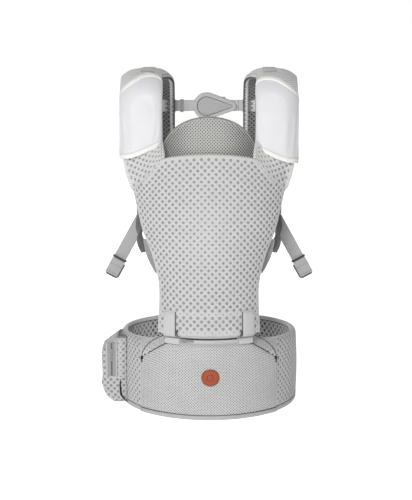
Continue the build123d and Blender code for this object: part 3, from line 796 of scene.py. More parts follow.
def strap_surface(side, inner=False):
    """A strap's outside, or its inside with s turned round; s is the distance from its middle."""

    def surface(s, t):
        if inner:
            s = -s
        at, out = strap_frame(t)
        u = np.clip(side * s / STRAP_HALF, -1.15, 1.15)
        front = 1 - smooth_step(t, 195, 255)
        over = smooth_step(t, 235, 310) * (1 - 0.7 * smooth_step(t, 380, 470))
        if inner:
            crown = -7.0 + 2.5 * u**2
            crown = crown - np.where(u > 0, 6.0 + 3.5 * front, 5.0 + 8.0 * over) * np.abs(u) ** 2.2
        else:
            drop = front * 14.0 * np.abs(u) ** 2.3 + (1 - front) * 9.5 * np.abs(u) ** 4
            crown = 7.0 - np.where(u > 0, drop, (8.5 + 8.0 * over) * np.abs(u) ** 2.8)
        x = strap_centre(at[..., 0]) + side * s
        forward = at[..., 0] + crown * out[..., 0]
        z = at[..., 1] + crown * out[..., 1]
        share = np.clip(t / SEAM_LENGTH, 0, 1)
        v = (u + 1) / 2
        wide = 1 - (1 - share) ** 2.2
        seam_x, seam_z = np.interp(v, SEAM_SHARE, SEAM[:, 0]), np.interp(v, SEAM_SHARE, SEAM[:, 2])
        low_x = seam_x + (81.5 + 2 * STRAP_HALF * v - seam_x) * wide
        low_z = seam_z * (1 - share) + 508 * share
        join = panel_forward(np.minimum(low_x, CORNER_X), np.minimum(low_z, 470)) - (7 if inner else 0) - 1.5
        join = join + (forward - join) * smooth_step(share, 0.0, 0.75)
        low = np.asarray(t) < SEAM_LENGTH
        x, forward, z = np.where(low, low_x, x), np.where(low, join, forward), np.where(low, low_z, z)
        return point(side * x, forward, z)

    return surface


def strap_sides(t):
    """The strap's edges, drawn in where it ends behind."""
    back = smooth_step(t, strap_rail.length - 60, strap_rail.length)
    return -STRAP_HALF + 14 * back, STRAP_HALF - 14 * back


def inner_sides(t):
    """The inner layers' edges, a little inside the strap's own."""
    low, high = strap_sides(t)
    inset = 1.0 + 4.0 * smooth_step(-t, -110, -40)
    return low + inset, high - inset


def build_strap(label, side):
    """A padded strap: open mesh by the panel, ribbed cloth over the shoulder and open mesh inside."""
    body, slot = "panel", "strap_mesh"
    outer, inner = strap_surface(side), strap_surface(side, inner=True)
    length = strap_rail.length
    net(f"strap_front_mesh_{label}", outer, strap_sides, (0.0, 108.0), 12.0, 2.3, body, slot,
        [PANEL_FACE, PANEL_WALL], fade=lambda s, t: np.where(side * s < -8, 0.75, 0.95) * np.where(t > 70, 0.75, 1))
    shell(f"strap_front_spacer_{label}", outer, strap_sides, (0.0, 108.0), (30, 40), 1.8, body, slot, PANEL_BACK,
          top=-1.9)
    top = shell(f"strap_outer_{label}", outer, strap_sides, (104.0, length), (30, 130), 4.5, body, slot, STRAP_FACE)
    net(f"strap_inner_mesh_{label}", inner, inner_sides, (104.0, length - 1), 8.0, 1.9, body, slot,
        [STRAP_IN_FACE, STRAP_IN_WALL])
    shell(f"strap_inner_layer_{label}", inner, inner_sides, (106.0, length), (24, 90), 1.5, body, slot,
          STRAP_IN_BACK, top=-1.9)
    shell(f"strap_root_lining_{label}", inner, inner_sides, (2.0, 106.0), (24, 36), 1.5, body, slot, LINING, top=-0.8)
    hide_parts(f"shoulder_strap_{label}")
    t = np.concatenate([np.linspace(0, 110, 50), np.linspace(114, length - 1, 120)])
    low, high = strap_sides(t)
    for edge, s, drop in (("inner", low, -5.0), ("outer", high, -3.5)):
        line = on(outer, s * 0.985 * side, t, drop)
        piping(f"strap_edge_{edge}_{label}", line, 3.8, body, slot, STRAP_FACE, count=10)
    low, high = strap_sides(length)
    end = on(outer, np.linspace(low, high, 20), length - 1.0, -6.0)
    piping(f"strap_end_{label}", end, 5.0, body, slot, STRAP_FACE, count=10)
    seam = on(outer, np.linspace(-STRAP_HALF, STRAP_HALF, 40), 1.0, 0.1)
    piping(f"strap_seam_{label}", seam, 1.2, body, slot, PANEL_FACE)


on_both_sides(build_strap)


# ---- drool pads ----
def path_at(z_outer):
    """Distance along a strap where its outside reaches a height, in front."""
    t = np.linspace(20, 262, 400)
    at, out = strap_frame(t)
    return np.interp(z_outer, np.maximum.accumulate(at[:, 1] + 8.0 * out[:, 1]), t)


HEM_ROWS, HEM_SHARE = 9, 0.056  # rows of points in a hem, and its share of the pad's length


def build_drool_pad(label, side):
    """A satin sleeve round the strap, with a cream hem at each end."""
    x = np.linspace(75, 158, 40)
    slip = 7.0 if side > 0 else 0.0
    foot_z = smooth_curve(x, [(75, 473), (90, 467), (112, 456.5), (135, 449), (158, 447.5)])
    head_z = smooth_curve(x, [(75, 581), (82, 588), (92, 589.5), (112, 588), (135, 579), (158, 570)])
    foot, head = path_at(foot_z - slip), path_at(head_z - 3.5 - 0.6 * slip)
    around = np.linspace(0, 2 * math.pi, 72, endpoint=False)
    wide, thick = 37.6, 10.4
    across = wide * np.sign(np.cos(around)) * np.abs(np.cos(around)) ** 0.55
    lift = thick * np.sign(np.sin(around)) * np.abs(np.sin(around)) ** 0.75
    hem = np.linspace(0, HEM_SHARE, HEM_ROWS)
    body = np.linspace(HEM_SHARE + 0.004, 1 - HEM_SHARE - 0.004, 56)
    share = np.concatenate([hem, body, np.linspace(1 - HEM_SHARE, 1, HEM_ROWS)])[:, None]
    rows = len(share)
    reach_x = STRAP_MIDDLE + across
    draw_in = 1 - 0.045 * np.abs(2 * share - 1) ** 10
    low = np.interp(reach_x, x, foot)[None]
    high = np.interp(reach_x, x, head)[None]
    t = low + (high - low) * share
    at, out = strap_frame(t)
    u = across / STRAP_HALF
    crown = lift + 1.0 - np.where(u > 0, 14.0, 3.0) * np.abs(u) ** 2.3
    hem_at = np.minimum(share, 1 - share) / HEM_SHARE
    roll = np.where(hem_at < 1, 1.9 * np.sqrt(np.clip(1 - (2 * hem_at - 1) ** 2, 0, 1)), 0)
    swell = 1.0 + 0.8 * np.sin(math.pi * share) + roll
    crown = crown + np.where(lift > 0, swell, -0.3)
    z = at[..., 1] + crown * out[..., 1]
    forward = at[..., 0] + crown * out[..., 0]
    centre = strap_centre(at[..., 0])
    points = point(side * (centre + across * draw_in), forward, z)
    if side < 0:
        points = points[:, ::-1]
    columns = len(around)
    middle = points.mean(axis=1, keepdims=True)
    lining = middle + (points - middle) * [0.84 + 0.07, 0.84 - 0.06, 1.0]
    faces = [grid_faces(rows, columns, wrap_columns=True)]
    faces.append(grid_faces(rows, columns, wrap_columns=True, start=rows * columns)[:, ::-1])
    for first, turn in ((0, -1), ((rows - 1) * columns, 1)):
        ring = np.arange(first, first + columns)
        other = ring + rows * columns
        faces.append(np.stack([ring, np.roll(ring, -1), np.roll(other, -1), other], axis=1)[:, ::turn])
    faces = np.concatenate(faces)[:, ::-1]
    sewn = np.r_[0 : HEM_ROWS * columns, (rows - HEM_ROWS) * columns : 2 * rows * columns]
    both = np.concatenate([points.reshape(-1, 3), lining.reshape(-1, 3)])
    points = inflate(both, faces, sewn, 1.4)[: rows * columns].reshape(points.shape)
    uv = np.stack(np.broadcast_arrays(distances(points[0])[None], t), axis=-1).reshape(-1, 2)
    at_hem = np.broadcast_to(hem_at < 1.001, t.shape).reshape(-1)
    material = np.zeros(len(faces), int)
    material[: (rows - 1) * columns] = at_hem[: (rows - 1) * columns] & at_hem[columns:]
    piece = make(f"drool_pad_satin_{label}", np.concatenate([points.reshape(-1, 3), lining.reshape(-1, 3)]), faces,
                 "panel", "white_satin", [SATIN, CREAM], np.concatenate([uv, uv]), material)
    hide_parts(f"drool_pad_{label}")
    for end, row in (("foot", 0), ("head", rows - 1)):
        piping(f"drool_pad_{end}_hem_{label}", ring_of(points[row]), 1.2, "panel",
               "white_satin", CREAM, closed=True)
    seam = ring_of(points[HEM_ROWS])
    piping(f"drool_pad_hem_groove_{label}", seam, 0.35, "panel", "white_satin", RIM, closed=True)


on_both_sides(build_drool_pad)


# ---- headrest ----
HEAD_HALF, HEAD_LOW, HEAD_TOP, HEAD_F, HEAD_BOW = 83.0, 447.0, 519.0, 138.0, 52.0
HEAD_RADIUS = (HEAD_HALF**2 + HEAD_BOW**2) / (2 * HEAD_BOW)


def headrest(s, t):
    """The headrest's face: a dome that bows forward, fuller in the middle."""
    turn = s / HEAD_RADIUS
    rise = (t - HEAD_LOW) / (HEAD_TOP - HEAD_LOW)
    roll = 7.0 * np.clip(rise, 0, 1.1) ** 4
    return point(HEAD_RADIUS * np.sin(turn), HEAD_F - HEAD_RADIUS * (1 - np.cos(turn)) - 1.0 - roll, t)


def head_sides(inset):
    """Edges of a layer on the headrest, inset from its own."""

    def sides(t):
        rise = np.clip((np.asarray(t, float) - HEAD_LOW) / (HEAD_TOP - 1.5 - HEAD_LOW), 0, 0.9995)
        x = np.maximum((HEAD_HALF - inset - 1) * np.sqrt(1 - rise**2.1), 0.5)
        half = HEAD_RADIUS * np.arcsin(x / HEAD_RADIUS)
        return -half, half

    return sides


def build_headrest():
    """The headrest's fine mesh over its pad, with a rolled edge."""
    # The holes open wider towards the sides so more of the dark backing shows: painted shade where the straps shade the
    # headrest's sides.
    shade_sides_by_holes = lambda s, t: 0.78 + 0.42 * smooth_step(np.abs(s), 15, 75)
    net("headrest_mesh_face", headrest, head_sides(0.5), (HEAD_LOW + 1, HEAD_TOP - 1.6), 5.8, 1.5,
        "headrest", "headrest_mesh", [HEAD_FACE, HEAD_WALL], depth_in=1.2, puff=0.15, corners=8, fade=shade_sides_by_holes)
    ribs = lambda s, t: np.abs(t - (HEAD_LOW + 30)) < 1.2
    pad = shell("headrest_pad", headrest, head_sides(0.0), (HEAD_LOW, HEAD_TOP - 1.5), (70, 50), 4.6,
                "headrest", "headrest_mesh", HEAD_BACK, top=-1.0, quilt=(2.0, ribs))
    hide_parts("headrest")
    t = HEAD_LOW + (HEAD_TOP - 1.6 - HEAD_LOW) * np.sin(np.linspace(0, math.pi / 2, 60))
    low, high = head_sides(0.5)(t)
    line = np.concatenate([on(headrest, high, t, -3.0), on(headrest, low, t, -3.0)[::-1]])
    piping("headrest_edge", line, 3.2, "headrest", "headrest_mesh", HEAD_EDGE, count=10)


build_headrest()


# ---- waist belt ----
def ellipse_rail(side_half, front, back, start_x, end_x):
    """Half the belt's plan from the front to the back, as points of x and depth."""
    first, last = math.acos(start_x / side_half), -math.acos(end_x / side_half)
    turn = np.linspace(first, last, 90)
    return np.stack([side_half * np.cos(turn), np.where(turn > 0, front, back) * np.sin(turn)], axis=1)


def opening_rail(start_x, end_x):
    """Half the waist opening's plan from the front to the back."""
    side, front, back, corner = OPENING_SIDE, OPENING_FRONT, OPENING_BACK, OPENING_CORNER
    points = []
    if start_x < side - corner:
        points += [(x, front) for x in np.linspace(start_x, side - corner, 12)[:-1]]
        first = math.pi / 2
    else:
        first = math.acos((start_x - side + corner) / corner)
    points += [(side - corner + corner * math.cos(a), front - corner + corner * math.sin(a))
               for a in np.linspace(first, 0, 24)]
    last = math.acos(end_x / side)
    points += [(side * math.cos(a), -back * math.sin(a)) for a in np.linspace(0, last, 50)]
    return np.array(points)


outer_rail = Rail(even(ellipse_rail(BELT_SIDE, BELT_FRONT, BELT_BACK, WING_START, WING_END), 2.0))
inner_rail = Rail(even(opening_rail(WING_START, WING_END), 2.0))
WING_LENGTH = outer_rail.length
RIM_TUBE = 6.0
WING_INSET = 0.4
BIND_RADIUS = 4.6
RIM_PROFILE, FOOT_PROFILE = oval(BIND_RADIUS, BIND_RADIUS, 14), round_bar(4.6, 8.0, 1.9)


def wing_frame(distance):
    """Inner point, outward direction and thickness of the belt, at a distance from its front end."""
    outer = outer_rail.at(np.clip(distance, -2, WING_LENGTH + 2))
    inner = inner_rail.at(np.asarray(distance) * inner_rail.length / WING_LENGTH)
    across = outer - inner
    thick = np.linalg.norm(across, axis=-1)
    return inner, across / thick[..., None], thick


def belt_profile(thick, t):
    """Distance out from the opening, and height, at a distance t up the belt's outside."""
    shoulder = np.clip(thick - RIM_TUBE, 5, 26)
    start = BELT_HEIGHT - 1 - shoulder
    arc = math.pi / 2 * np.sqrt((shoulder**2 + (thick - RIM_TUBE) ** 2) / 2)
    turn = np.clip((t - start) / arc * math.pi / 2, 0, math.pi / 2)
    bulge = 2.6 * np.sin(math.pi * np.clip(t / start, 0, 1))
    foot = 3.5 * np.clip(1 - t / 14, 0, 1) ** 2
    over = np.where(t > start, (thick - RIM_TUBE) * (np.cos(turn) - 1), bulge - foot)
    height = np.where(t > start, start + shoulder * np.sin(turn), t)
    return thick + over, height


def wing_outer(side):
    """A belt wing's outside: s is the distance along it, and t goes up and over its shoulder."""

    def surface(s, t):
        inner, across, thick = wing_frame(np.abs(s))
        out, z = belt_profile(thick, t)
        place = inner + across * out[..., None]
        return point(side * place[..., 0], place[..., 1], z)

    return surface


def wing_inner(side):
    """A belt wing's inside, round the waist."""

    def surface(s, t):
        inner, across, _ = wing_frame(np.abs(s))
        out = -1.6 * np.sin(math.pi * np.clip(t / 120, 0, 1)) + 0.5
        place = inner + across * out[..., None]
        return point(side * place[..., 0], place[..., 1], t)

    return surface


def wing_span(side, inner=False):
    """Edges of a belt wing's cover, turned so that its outside is out."""
    low, high = WING_INSET, WING_LENGTH - WING_INSET
    return between(low, high) if (side > 0) != inner else between(-high, -low)


def build_wing(label, side):
    """A belt wing: its pad, the meshes and layers over it, and its bindings and seams."""
    body = f"wing_{label}"
    stations = np.linspace(0, WING_LENGTH, 110)
    inner, across, thick = wing_frame(stations)
    profile = []
    for width in thick:
        t = np.concatenate([np.linspace(1.5, 95, 14), np.linspace(97, 145, 26)])
        out, z = belt_profile(width, t)
        outside = [(o - 2.0, h - 0.5) for o, h in zip(out, z)]
        inside = [(2.0 - 1.6 * math.sin(math.pi * min(h / 120, 1)), h) for h in np.linspace(124, 1.5, 24)]
        profile.append(outside + inside)

    def plan(place, z):
        return point(side * place[:, 0], place[:, 1], z)

    centre = plan(inner, 0)
    lean = stack(side * across[:, 0], -across[:, 1], 0)
    core = sweep(f"belt_pad_{label}", centre, lean, UP, np.array(profile), body, "belt_mesh", BELT_MESH_BACK)
    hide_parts(f"belt_wing_{label}")

    def fade(s, t):
        away = np.abs(s)
        far = smooth_step(away, 45, 95) * (side > 0) + smooth_step(away, 150, 200) * (side < 0)
        size = 1.0 - 0.5 * far
        return np.where(t < 12, 0.4, size)

    net(f"belt_outer_mesh_{label}", wing_outer(side), wing_span(side), (3.0, 146.0), 12.4, 2.35, body, "belt_mesh",
        [BELT_MESH_FACE, BELT_MESH_WALL], fade=fade)
    inside, inner_span = wing_inner(side), wing_span(side, inner=True)
    net(f"belt_inner_mesh_{label}", inside, inner_span, (4.0, 121.0), 13.0, 3.1, body, "belt_mesh",
        [BELT_IN_FACE, BELT_IN_BACK])
    shell(f"belt_inner_layer_{label}", inside, inner_span, (2.0, 122.0), (90, 20), 1.0, body, "belt_mesh",
          BELT_IN_BACK, top=-1.3)
    rim_line = plan(inner + across * 4.2, BELT_HEIGHT - BIND_RADIUS)
    rim = sweep(f"belt_rim_binding_{label}", rim_line, lean, UP, RIM_PROFILE, body, "binding", BIND)
    # Dark cords along both edges of the rim binding: the seam lines, painted dark for the shade in the binding's fold.
    for tag, out_by, down_by in (("outer", 4.4, 2.6), ("inner", -4.3, 2.4)):
        line = rim_line + lean * out_by - [0, 0, down_by]
        piping(f"belt_rim_shade_seam_{tag}_{label}", line, 0.6, body, "binding", DARK_THREAD_AND_SHADE)
    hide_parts(f"belt_binding_top_{label}")
    out, _ = belt_profile(thick, np.full(thick.shape, 3.0))
    foot_line = plan(inner + across * (out[:, None] + 0.6), 4.2)
    foot = sweep(f"belt_foot_binding_{label}", foot_line, lean, UP, FOOT_PROFILE, body, "binding", FOOT_BIND)
    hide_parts(f"belt_binding_bottom_{label}")
    piping(f"belt_foot_seam_{label}", foot_line + lean * 2.0 + [0, 0, 4.7], 0.7, body, "binding", DARK_THREAD_AND_SHADE)
    end_profile = np.array(profile[-1])
    end_line = centre[-1] + lean[-1] * end_profile[:, :1] + UP * end_profile[:, 1:]
    piping(f"belt_end_binding_{label}", ring_of(end_line), 2.6, body, "binding", BIND, closed=True)
    t = np.linspace(6, 140, 60)
    seam = on(wing_outer(side), np.full(60, side * 0.6), t, -0.9)
    piping(f"belt_seat_seam_{label}", seam, 1.3, body, "binding", BELT_MESH_FACE)


on_both_sides(build_wing)


# ---- hip seat ----
def seat_front_depth(x, z):
    """Depth of the seat's front at a place in the front view."""
    reach = BELT_FRONT + (SEAT_TOP_FRONT - BELT_FRONT) * np.clip(z, 0, SEAT_HEIGHT) / SEAT_HEIGHT
    return reach * np.sqrt(1 - (np.clip(np.abs(x), 0, 150) / BELT_SIDE) ** 2)


def seat_top(x):
    """Height of the seat's top edge."""
    x = np.abs(x)
    corner = SEAT_HEIGHT - (x - SEAT_FLAT) * (SEAT_HEIGHT - SEAT_SHOULDER) / (SEAT_HALF - SEAT_FLAT)
    soft = 6 * np.exp(-(((x - SEAT_FLAT) / 12) ** 2))
    return np.where(x < SEAT_FLAT, SEAT_HEIGHT, corner) - soft * 0.35


def seat_front(s, t):
    """The seat's front cover: s is across the front view, and t goes up and over the top edge."""
    top = seat_top(s) - 1.0
    bend = 7.0
    straight = 130.0
    z_side = t / straight * (top - bend)
    turn = np.clip((t - straight) / (bend * math.pi / 2), 0, 1) * math.pi / 2
    z = np.where(t < straight, z_side, top - bend + bend * np.sin(turn))
    back = np.where(t < straight, 0, bend * (1 - np.cos(turn))) + np.maximum(t - straight - bend * math.pi / 2, 0)
    bulge = 2.2 * np.sin(math.pi * np.clip(t / straight, 0, 1)) - 3.0 * np.clip(1 - t / 12, 0, 1) ** 2
    forward = seat_front_depth(s, z) - back + bulge - 1.2
    return point(s, forward, z)


def opening_depth(x, grow):
    """Depth of the opening's front edge, grown outwards."""
    corner = OPENING_CORNER + grow
    past = np.clip(np.abs(x) - (OPENING_SIDE - OPENING_CORNER), 0, corner * 0.98)
    return OPENING_FRONT - OPENING_CORNER + np.sqrt(corner**2 - past**2)


SEAT_DEEP = 80.0


def seat_upper(s, t):
    """The seat's top, from its front edge (t = 0) back to the belly pad (t = SEAT_DEEP)."""
    outward = np.clip((np.abs(s) - SEAT_FLAT) / (SEAT_HALF - SEAT_FLAT), 0, 1)
    front = seat_front_depth(s, seat_top(s)) - 8.0 + 5.0 * outward
    back = opening_depth(s, BELLY_PAD - 1 - 6.0 * outward)
    share = np.clip(t / SEAT_DEEP, 0, 1)
    sag = 1.6 * np.sin(math.pi * share) - 5.0 * np.clip(1 - (1 - share) / 0.12, 0, 1) ** 2
    rim = SEAT_HEIGHT - (SEAT_HEIGHT - BELT_HEIGHT + 1) * outward
    rise = (rim - seat_top(s)) * np.sqrt(np.clip(1 - (1 - share) ** 2, 0, 1))
    return point(s, front + (back - front) * share, seat_top(s) - 1.0 + sag * 0.6 * (1 - outward) + rise)


def build_seat():
    """The hip seat's front and top covers, with their seams and foot binding, and dark cords and wedges of painted
    shade in the creases and along the flaps' edges.
    """
    span = between(-SEAT_HALF - 0.2, SEAT_HALF + 0.2)
    net("seat_front_mesh", seat_front, span, (3.0, 143.0), 5.0, 1.05, "seat", "seat_mesh",
        [SEAT_FACE, SEAT_WALL], depth_in=0.9, puff=0.3, corners=8)
    cover = shell("seat_front_pad", seat_front, span, (1.0, 144.0), (70, 60), 3.0, "seat", "seat_mesh", SEAT_BACK,
                  top=-0.7)
    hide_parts("seat_front_cover")
    net("seat_top_mesh", seat_upper, span, (0.0, SEAT_DEEP), 8.6, 1.45, "seat", "cover_fabric",
        [PANEL_FACE, PANEL_WALL])
    top = shell("seat_top_cushion", seat_upper, span, (0.0, SEAT_DEEP), (60, 30), 7.0, "seat", "cover_fabric",
                PANEL_BACK, top=-1.5)
    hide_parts("seat_top_pad")
    edge = on(seat_front, np.linspace(-74, 74, 60), 139.0, 0.3)
    piping("seat_top_seam", edge, 1.2, "seat", "cover_fabric", RIM)
    for label, side in SIDES.items():
        s = side * np.linspace(70, 117.0, 30)
        # A near-black cord along the crease: painted shade in the fold of the seat's shoulder.
        crease = on(seat_front, s, 138.5, 0.5)
        piping(f"seat_shoulder_crease_shade_{label}", crease, 0.85, "seat", "cover_fabric", PAINTED_FOLD_SHADE)
        # A near-black wedge where the top cover's end lifts off the front: painted shade in the gap under it.
        share = np.linspace(0, 1, 14)[:, None]
        corner = on(seat_front, side * 113.5, 138.0, 0.4)
        fold = corner + share * (on(seat_front, side * 117.0, 126.0, 0.4) - corner)
        width = 0.4 + 5.0 * np.sin(math.pi * share[:, 0] ** 0.55)
        way = unit(fold[-1] - fold[0])
        out = np.array([side * 0.5, -0.85, 0.15])
        profile = tapered(oval(1.0, 0.7, 10), width, 1.2)
        sweep(f"seat_shoulder_fold_shade_{label}", fold, np.cross(way, out), out, profile, "seat", "cover_fabric", PAINTED_FOLD_SHADE)
        # A dark cord along the flap's edge: painted shadow under the flap's lower edge.
        share = np.linspace(0, 1, 30)
        flap = on(seat_upper, side * (117.0 - 42.0 * share), SEAT_DEEP * share, 0.6)
        piping(f"seat_flap_edge_shade_{label}", flap, 0.75, "seat", "cover_fabric", DARK_THREAD_AND_SHADE)
    foot = on(seat_front, np.linspace(-117.5, 117.5, 100), 4.0, 1.0)
    centre = foot + [0, 0, 0.2]
    way = unit(np.gradient(centre, axis=0))
    lean = np.cross(way, UP)
    sweep("seat_foot_binding", centre, lean, UP, FOOT_PROFILE, "seat", "binding", FOOT_BIND)
    piping("seat_foot_seam", centre + lean * 0.9 + [0, 0, 4.7], 0.7, "seat", "binding", DARK_THREAD_AND_SHADE)


build_seat()


def build_seat_side(label, side):
    """Cloth over one end of the seat, which shows when the belt's wing folds away."""
    inner, _, thick = wing_frame(np.array([0.0]))
    t = np.concatenate([np.linspace(4.0, 95, 14), np.linspace(97, 141, 22)])
    out, z = belt_profile(thick[0], t)
    outside = np.stack([out - 2.4, z - 0.8], axis=1)
    inside = np.stack([np.full(16, 2.0), np.linspace(123, 4.0, 16)], axis=1)
    profile = np.concatenate([outside, inside])
    centre = point(side * np.array([117.9, 115.5]), inner[0, 1], 0)
    sweep(f"seat_side_cover_{label}", centre, FRONT, UP, profile, "seat", "cover_fabric", SIDE_CLOTH, smooth=False)


on_both_sides(build_seat_side)


def build_belly_pad():
    """The padded front of the waist opening, on the seat."""
    half = opening_rail(0.0, SEAT_HALF)
    past = SEAT_HALF - OPENING_SIDE + OPENING_CORNER
    end_f = OPENING_FRONT - OPENING_CORNER + math.sqrt(OPENING_CORNER**2 - past**2)
    half = np.concatenate([half[half[:, 0] < SEAT_HALF - 1], [[SEAT_HALF, end_f]]])
    whole = np.concatenate([(half * [-1, 1])[::-1], half[1:]])
    rail = Rail(even(whole, 2.0))

    def frame_at(s):
        at = rail.at(np.clip(s, 0, rail.length))
        way = rail.way(np.clip(s, 2, rail.length - 2))
        return at, np.stack([-way[..., 1], way[..., 0]], axis=-1)

    def face(s, t):
        at, out = frame_at(rail.length - s)
        deep = -1.8 * np.sin(math.pi * np.clip(t / 122, 0, 1)) + 0.5
        place = at + out * deep[..., None]
        return point(place[..., 0], place[..., 1], t)

    span = between(1.0, rail.length - 1.0)
    net("belly_mesh", face, span, (4.0, 121.0), 13.0, 3.0, "seat", "cover_fabric", [BELT_IN_FACE, BELT_IN_BACK])
    stations = np.linspace(0, rail.length, 90)
    at, out = frame_at(stations)
    centre = point(at[:, 0], at[:, 1], 0)
    lean = stack(out[:, 0], -out[:, 1], 0)
    inside = [(2.2 - 1.8 * math.sin(math.pi * min(z / 122, 1)), z) for z in np.linspace(124, 1.5, 24)]
    profile = np.array([(11.0, 1.5), (11.5, 60), (11.0, 118), (8.0, 126), (4.0, 127)] + inside)
    pad = sweep("belly_cushion", centre, lean, UP, profile, "seat", "cover_fabric", BELT_MESH_BACK)
    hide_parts("belly_pad")
    line = centre + lean * 4.2 + [0, 0, BELT_HEIGHT - BIND_RADIUS]
    sweep("belly_rim_binding", line, lean, UP, RIM_PROFILE, "seat", "binding", BIND)
    # A dark cord under the rim binding: the seam line, painted dark for the shade in the binding's fold.
    piping("belly_rim_shade_seam", line - lean * 4.3 - [0, 0, 2.4], 0.6, "seat", "binding", DARK_THREAD_AND_SHADE)


build_belly_pad()


# ---- pocket on the left wing ----
POCKET_TAPE_F, POCKET_ZIP_X = 74.2, -173.0


def build_pocket():
    """A pouch of mesh with a slanting top, an upright zip in front and a slack foot."""
    body, slot = "wing_left", "belt_mesh"
    outer, inner, rear, front = -191.0, -159.5, 3.0, 71.0  # x of its two sides, and depths of its ends
    belt_front, belt_rear = (-146.5, 67.0), (-157.0, 3.0)
    pleat_z = 50  # where the slack foot is gathered
    loops = []
    heights = np.concatenate([np.linspace(5, 60, 26), np.linspace(62, 123, 32)])
    for z in heights:
        left = smooth_curve(z, [(5, -172.0), (14, -183), (28, -189.5), (60, -190.5), (90, -191.0), (103, -190.0)])
        if z > 102:
            left = -190.0 + (z - 102) * (29.0 / 21.5)
        left = min(left, inner - 2.0)
        near, far = front - 5.0 * max(0, (16 - z) / 16) ** 1.5, rear + 4.0 * max(0, (16 - z) / 16)
        top_in = 6.0 * max(0, (z - 108) / 15) ** 2
        near, far = near - top_in, far + top_in
        radius = min(9.0, (inner - left) * 0.45)
        ring = []
        for cx, cf, first in ((left + radius, near - radius, 90), (left + radius, far + radius, 180)):
            ring += [(cx + radius * math.cos(math.radians(a)), cf + radius * math.sin(math.radians(a)))
                     for a in np.linspace(first, first + 90, 9)]
        ring = np.array([(belt_front[0], belt_front[1] - front + near), (inner + 3, near)] + ring + [belt_rear])
        closed = ring_of(ring)
        along = distances(closed)
        at = np.linspace(0, along[-1], 97)[:-1]
        loops.append(np.stack([np.interp(at, along, closed[:, k]) for k in range(2)], axis=1))
    loops = np.array(loops)
    x, f = loops[..., 0], loops[..., 1]
    z = np.broadcast_to(heights[:, None], x.shape).copy()
    slack = np.clip(1 - z / 56, 0, 1) * np.clip((inner - x) / 10, 0, 1)
    wave = np.sin(x * 0.33 + z * 0.21) * np.cos(f * 0.19 - z * 0.3) + 0.6 * np.sin(f * 0.42 + z * 0.17)
    seam = np.exp(-((z - pleat_z) / 2.2) ** 2) * np.clip((inner - x) / 8, 0, 1)
    away = unit(np.stack([x - (outer + inner) / 2, (f - (rear + front) / 2) * 0.45], axis=-1))
    bulge = 1.2 * np.sin(np.clip((z - pleat_z) / 55, 0, 1) * math.pi)
    push = 2.1 * slack * wave - 1.6 * seam + bulge * np.clip((inner - x) / 10, 0, 1)
    x, f = x + away[..., 0] * push, f + away[..., 1] * push
    grid = point(x, f, z)
    rows, columns = x.shape
    faces = [list(q) for q in grid_faces(rows, columns, wrap_columns=True)[:, ::-1]]
    faces.append(list(range(columns)))
    faces.append(list(range((rows - 1) * columns, rows * columns))[::-1])
    held = np.flatnonzero((x > inner - 2) | (z > 100) | (z < 8) | (np.abs(z - pleat_z) < 3))
    grid = inflate(grid, faces, held, 1.6)
    run = np.linspace(0, 200, columns)
    uv = np.stack(np.broadcast_arrays(run[None], z), axis=-1).reshape(-1, 2)
    bag = make("side_pocket_bag", grid.reshape(-1, 3), faces, body, slot, BELT_MESH_BACK, uv)
    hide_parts("side_pocket")
    length = np.linalg.norm(np.roll(grid, -1, axis=1) - grid, axis=2).sum(axis=1).mean()

    def skin(s, t):
        """The pouch's outside, read by the distance round it and the height."""
        col = np.clip(s / length, 0, 0.999) * columns
        row = np.interp(t, heights, np.arange(rows))
        i, j = np.floor(row).astype(int).clip(0, rows - 2), np.floor(col).astype(int)
        a, b = (row - i)[..., None], (col - j)[..., None]
        j2 = (j + 1) % columns
        return (grid[i, j] * (1 - a) + grid[i + 1, j] * a) * (1 - b) + (grid[i, j2] * (1 - a) + grid[i + 1, j2] * a) * b

    outside = lambda s, t: skin(-s, t)
    zip_from, zip_to = 5.5, 22.5
    bare = lambda s, t: np.where((-s > zip_from) & (-s < zip_to) & (t > pleat_z), 0.3, 1.0)
    net("side_pocket_mesh", outside, between(-150.0, -1.0), (7.0, 120.0), 11.0, 2.3, body, slot,
        [BELT_MESH_FACE, BELT_MESH_WALL], fade=bare)


build_pocket()


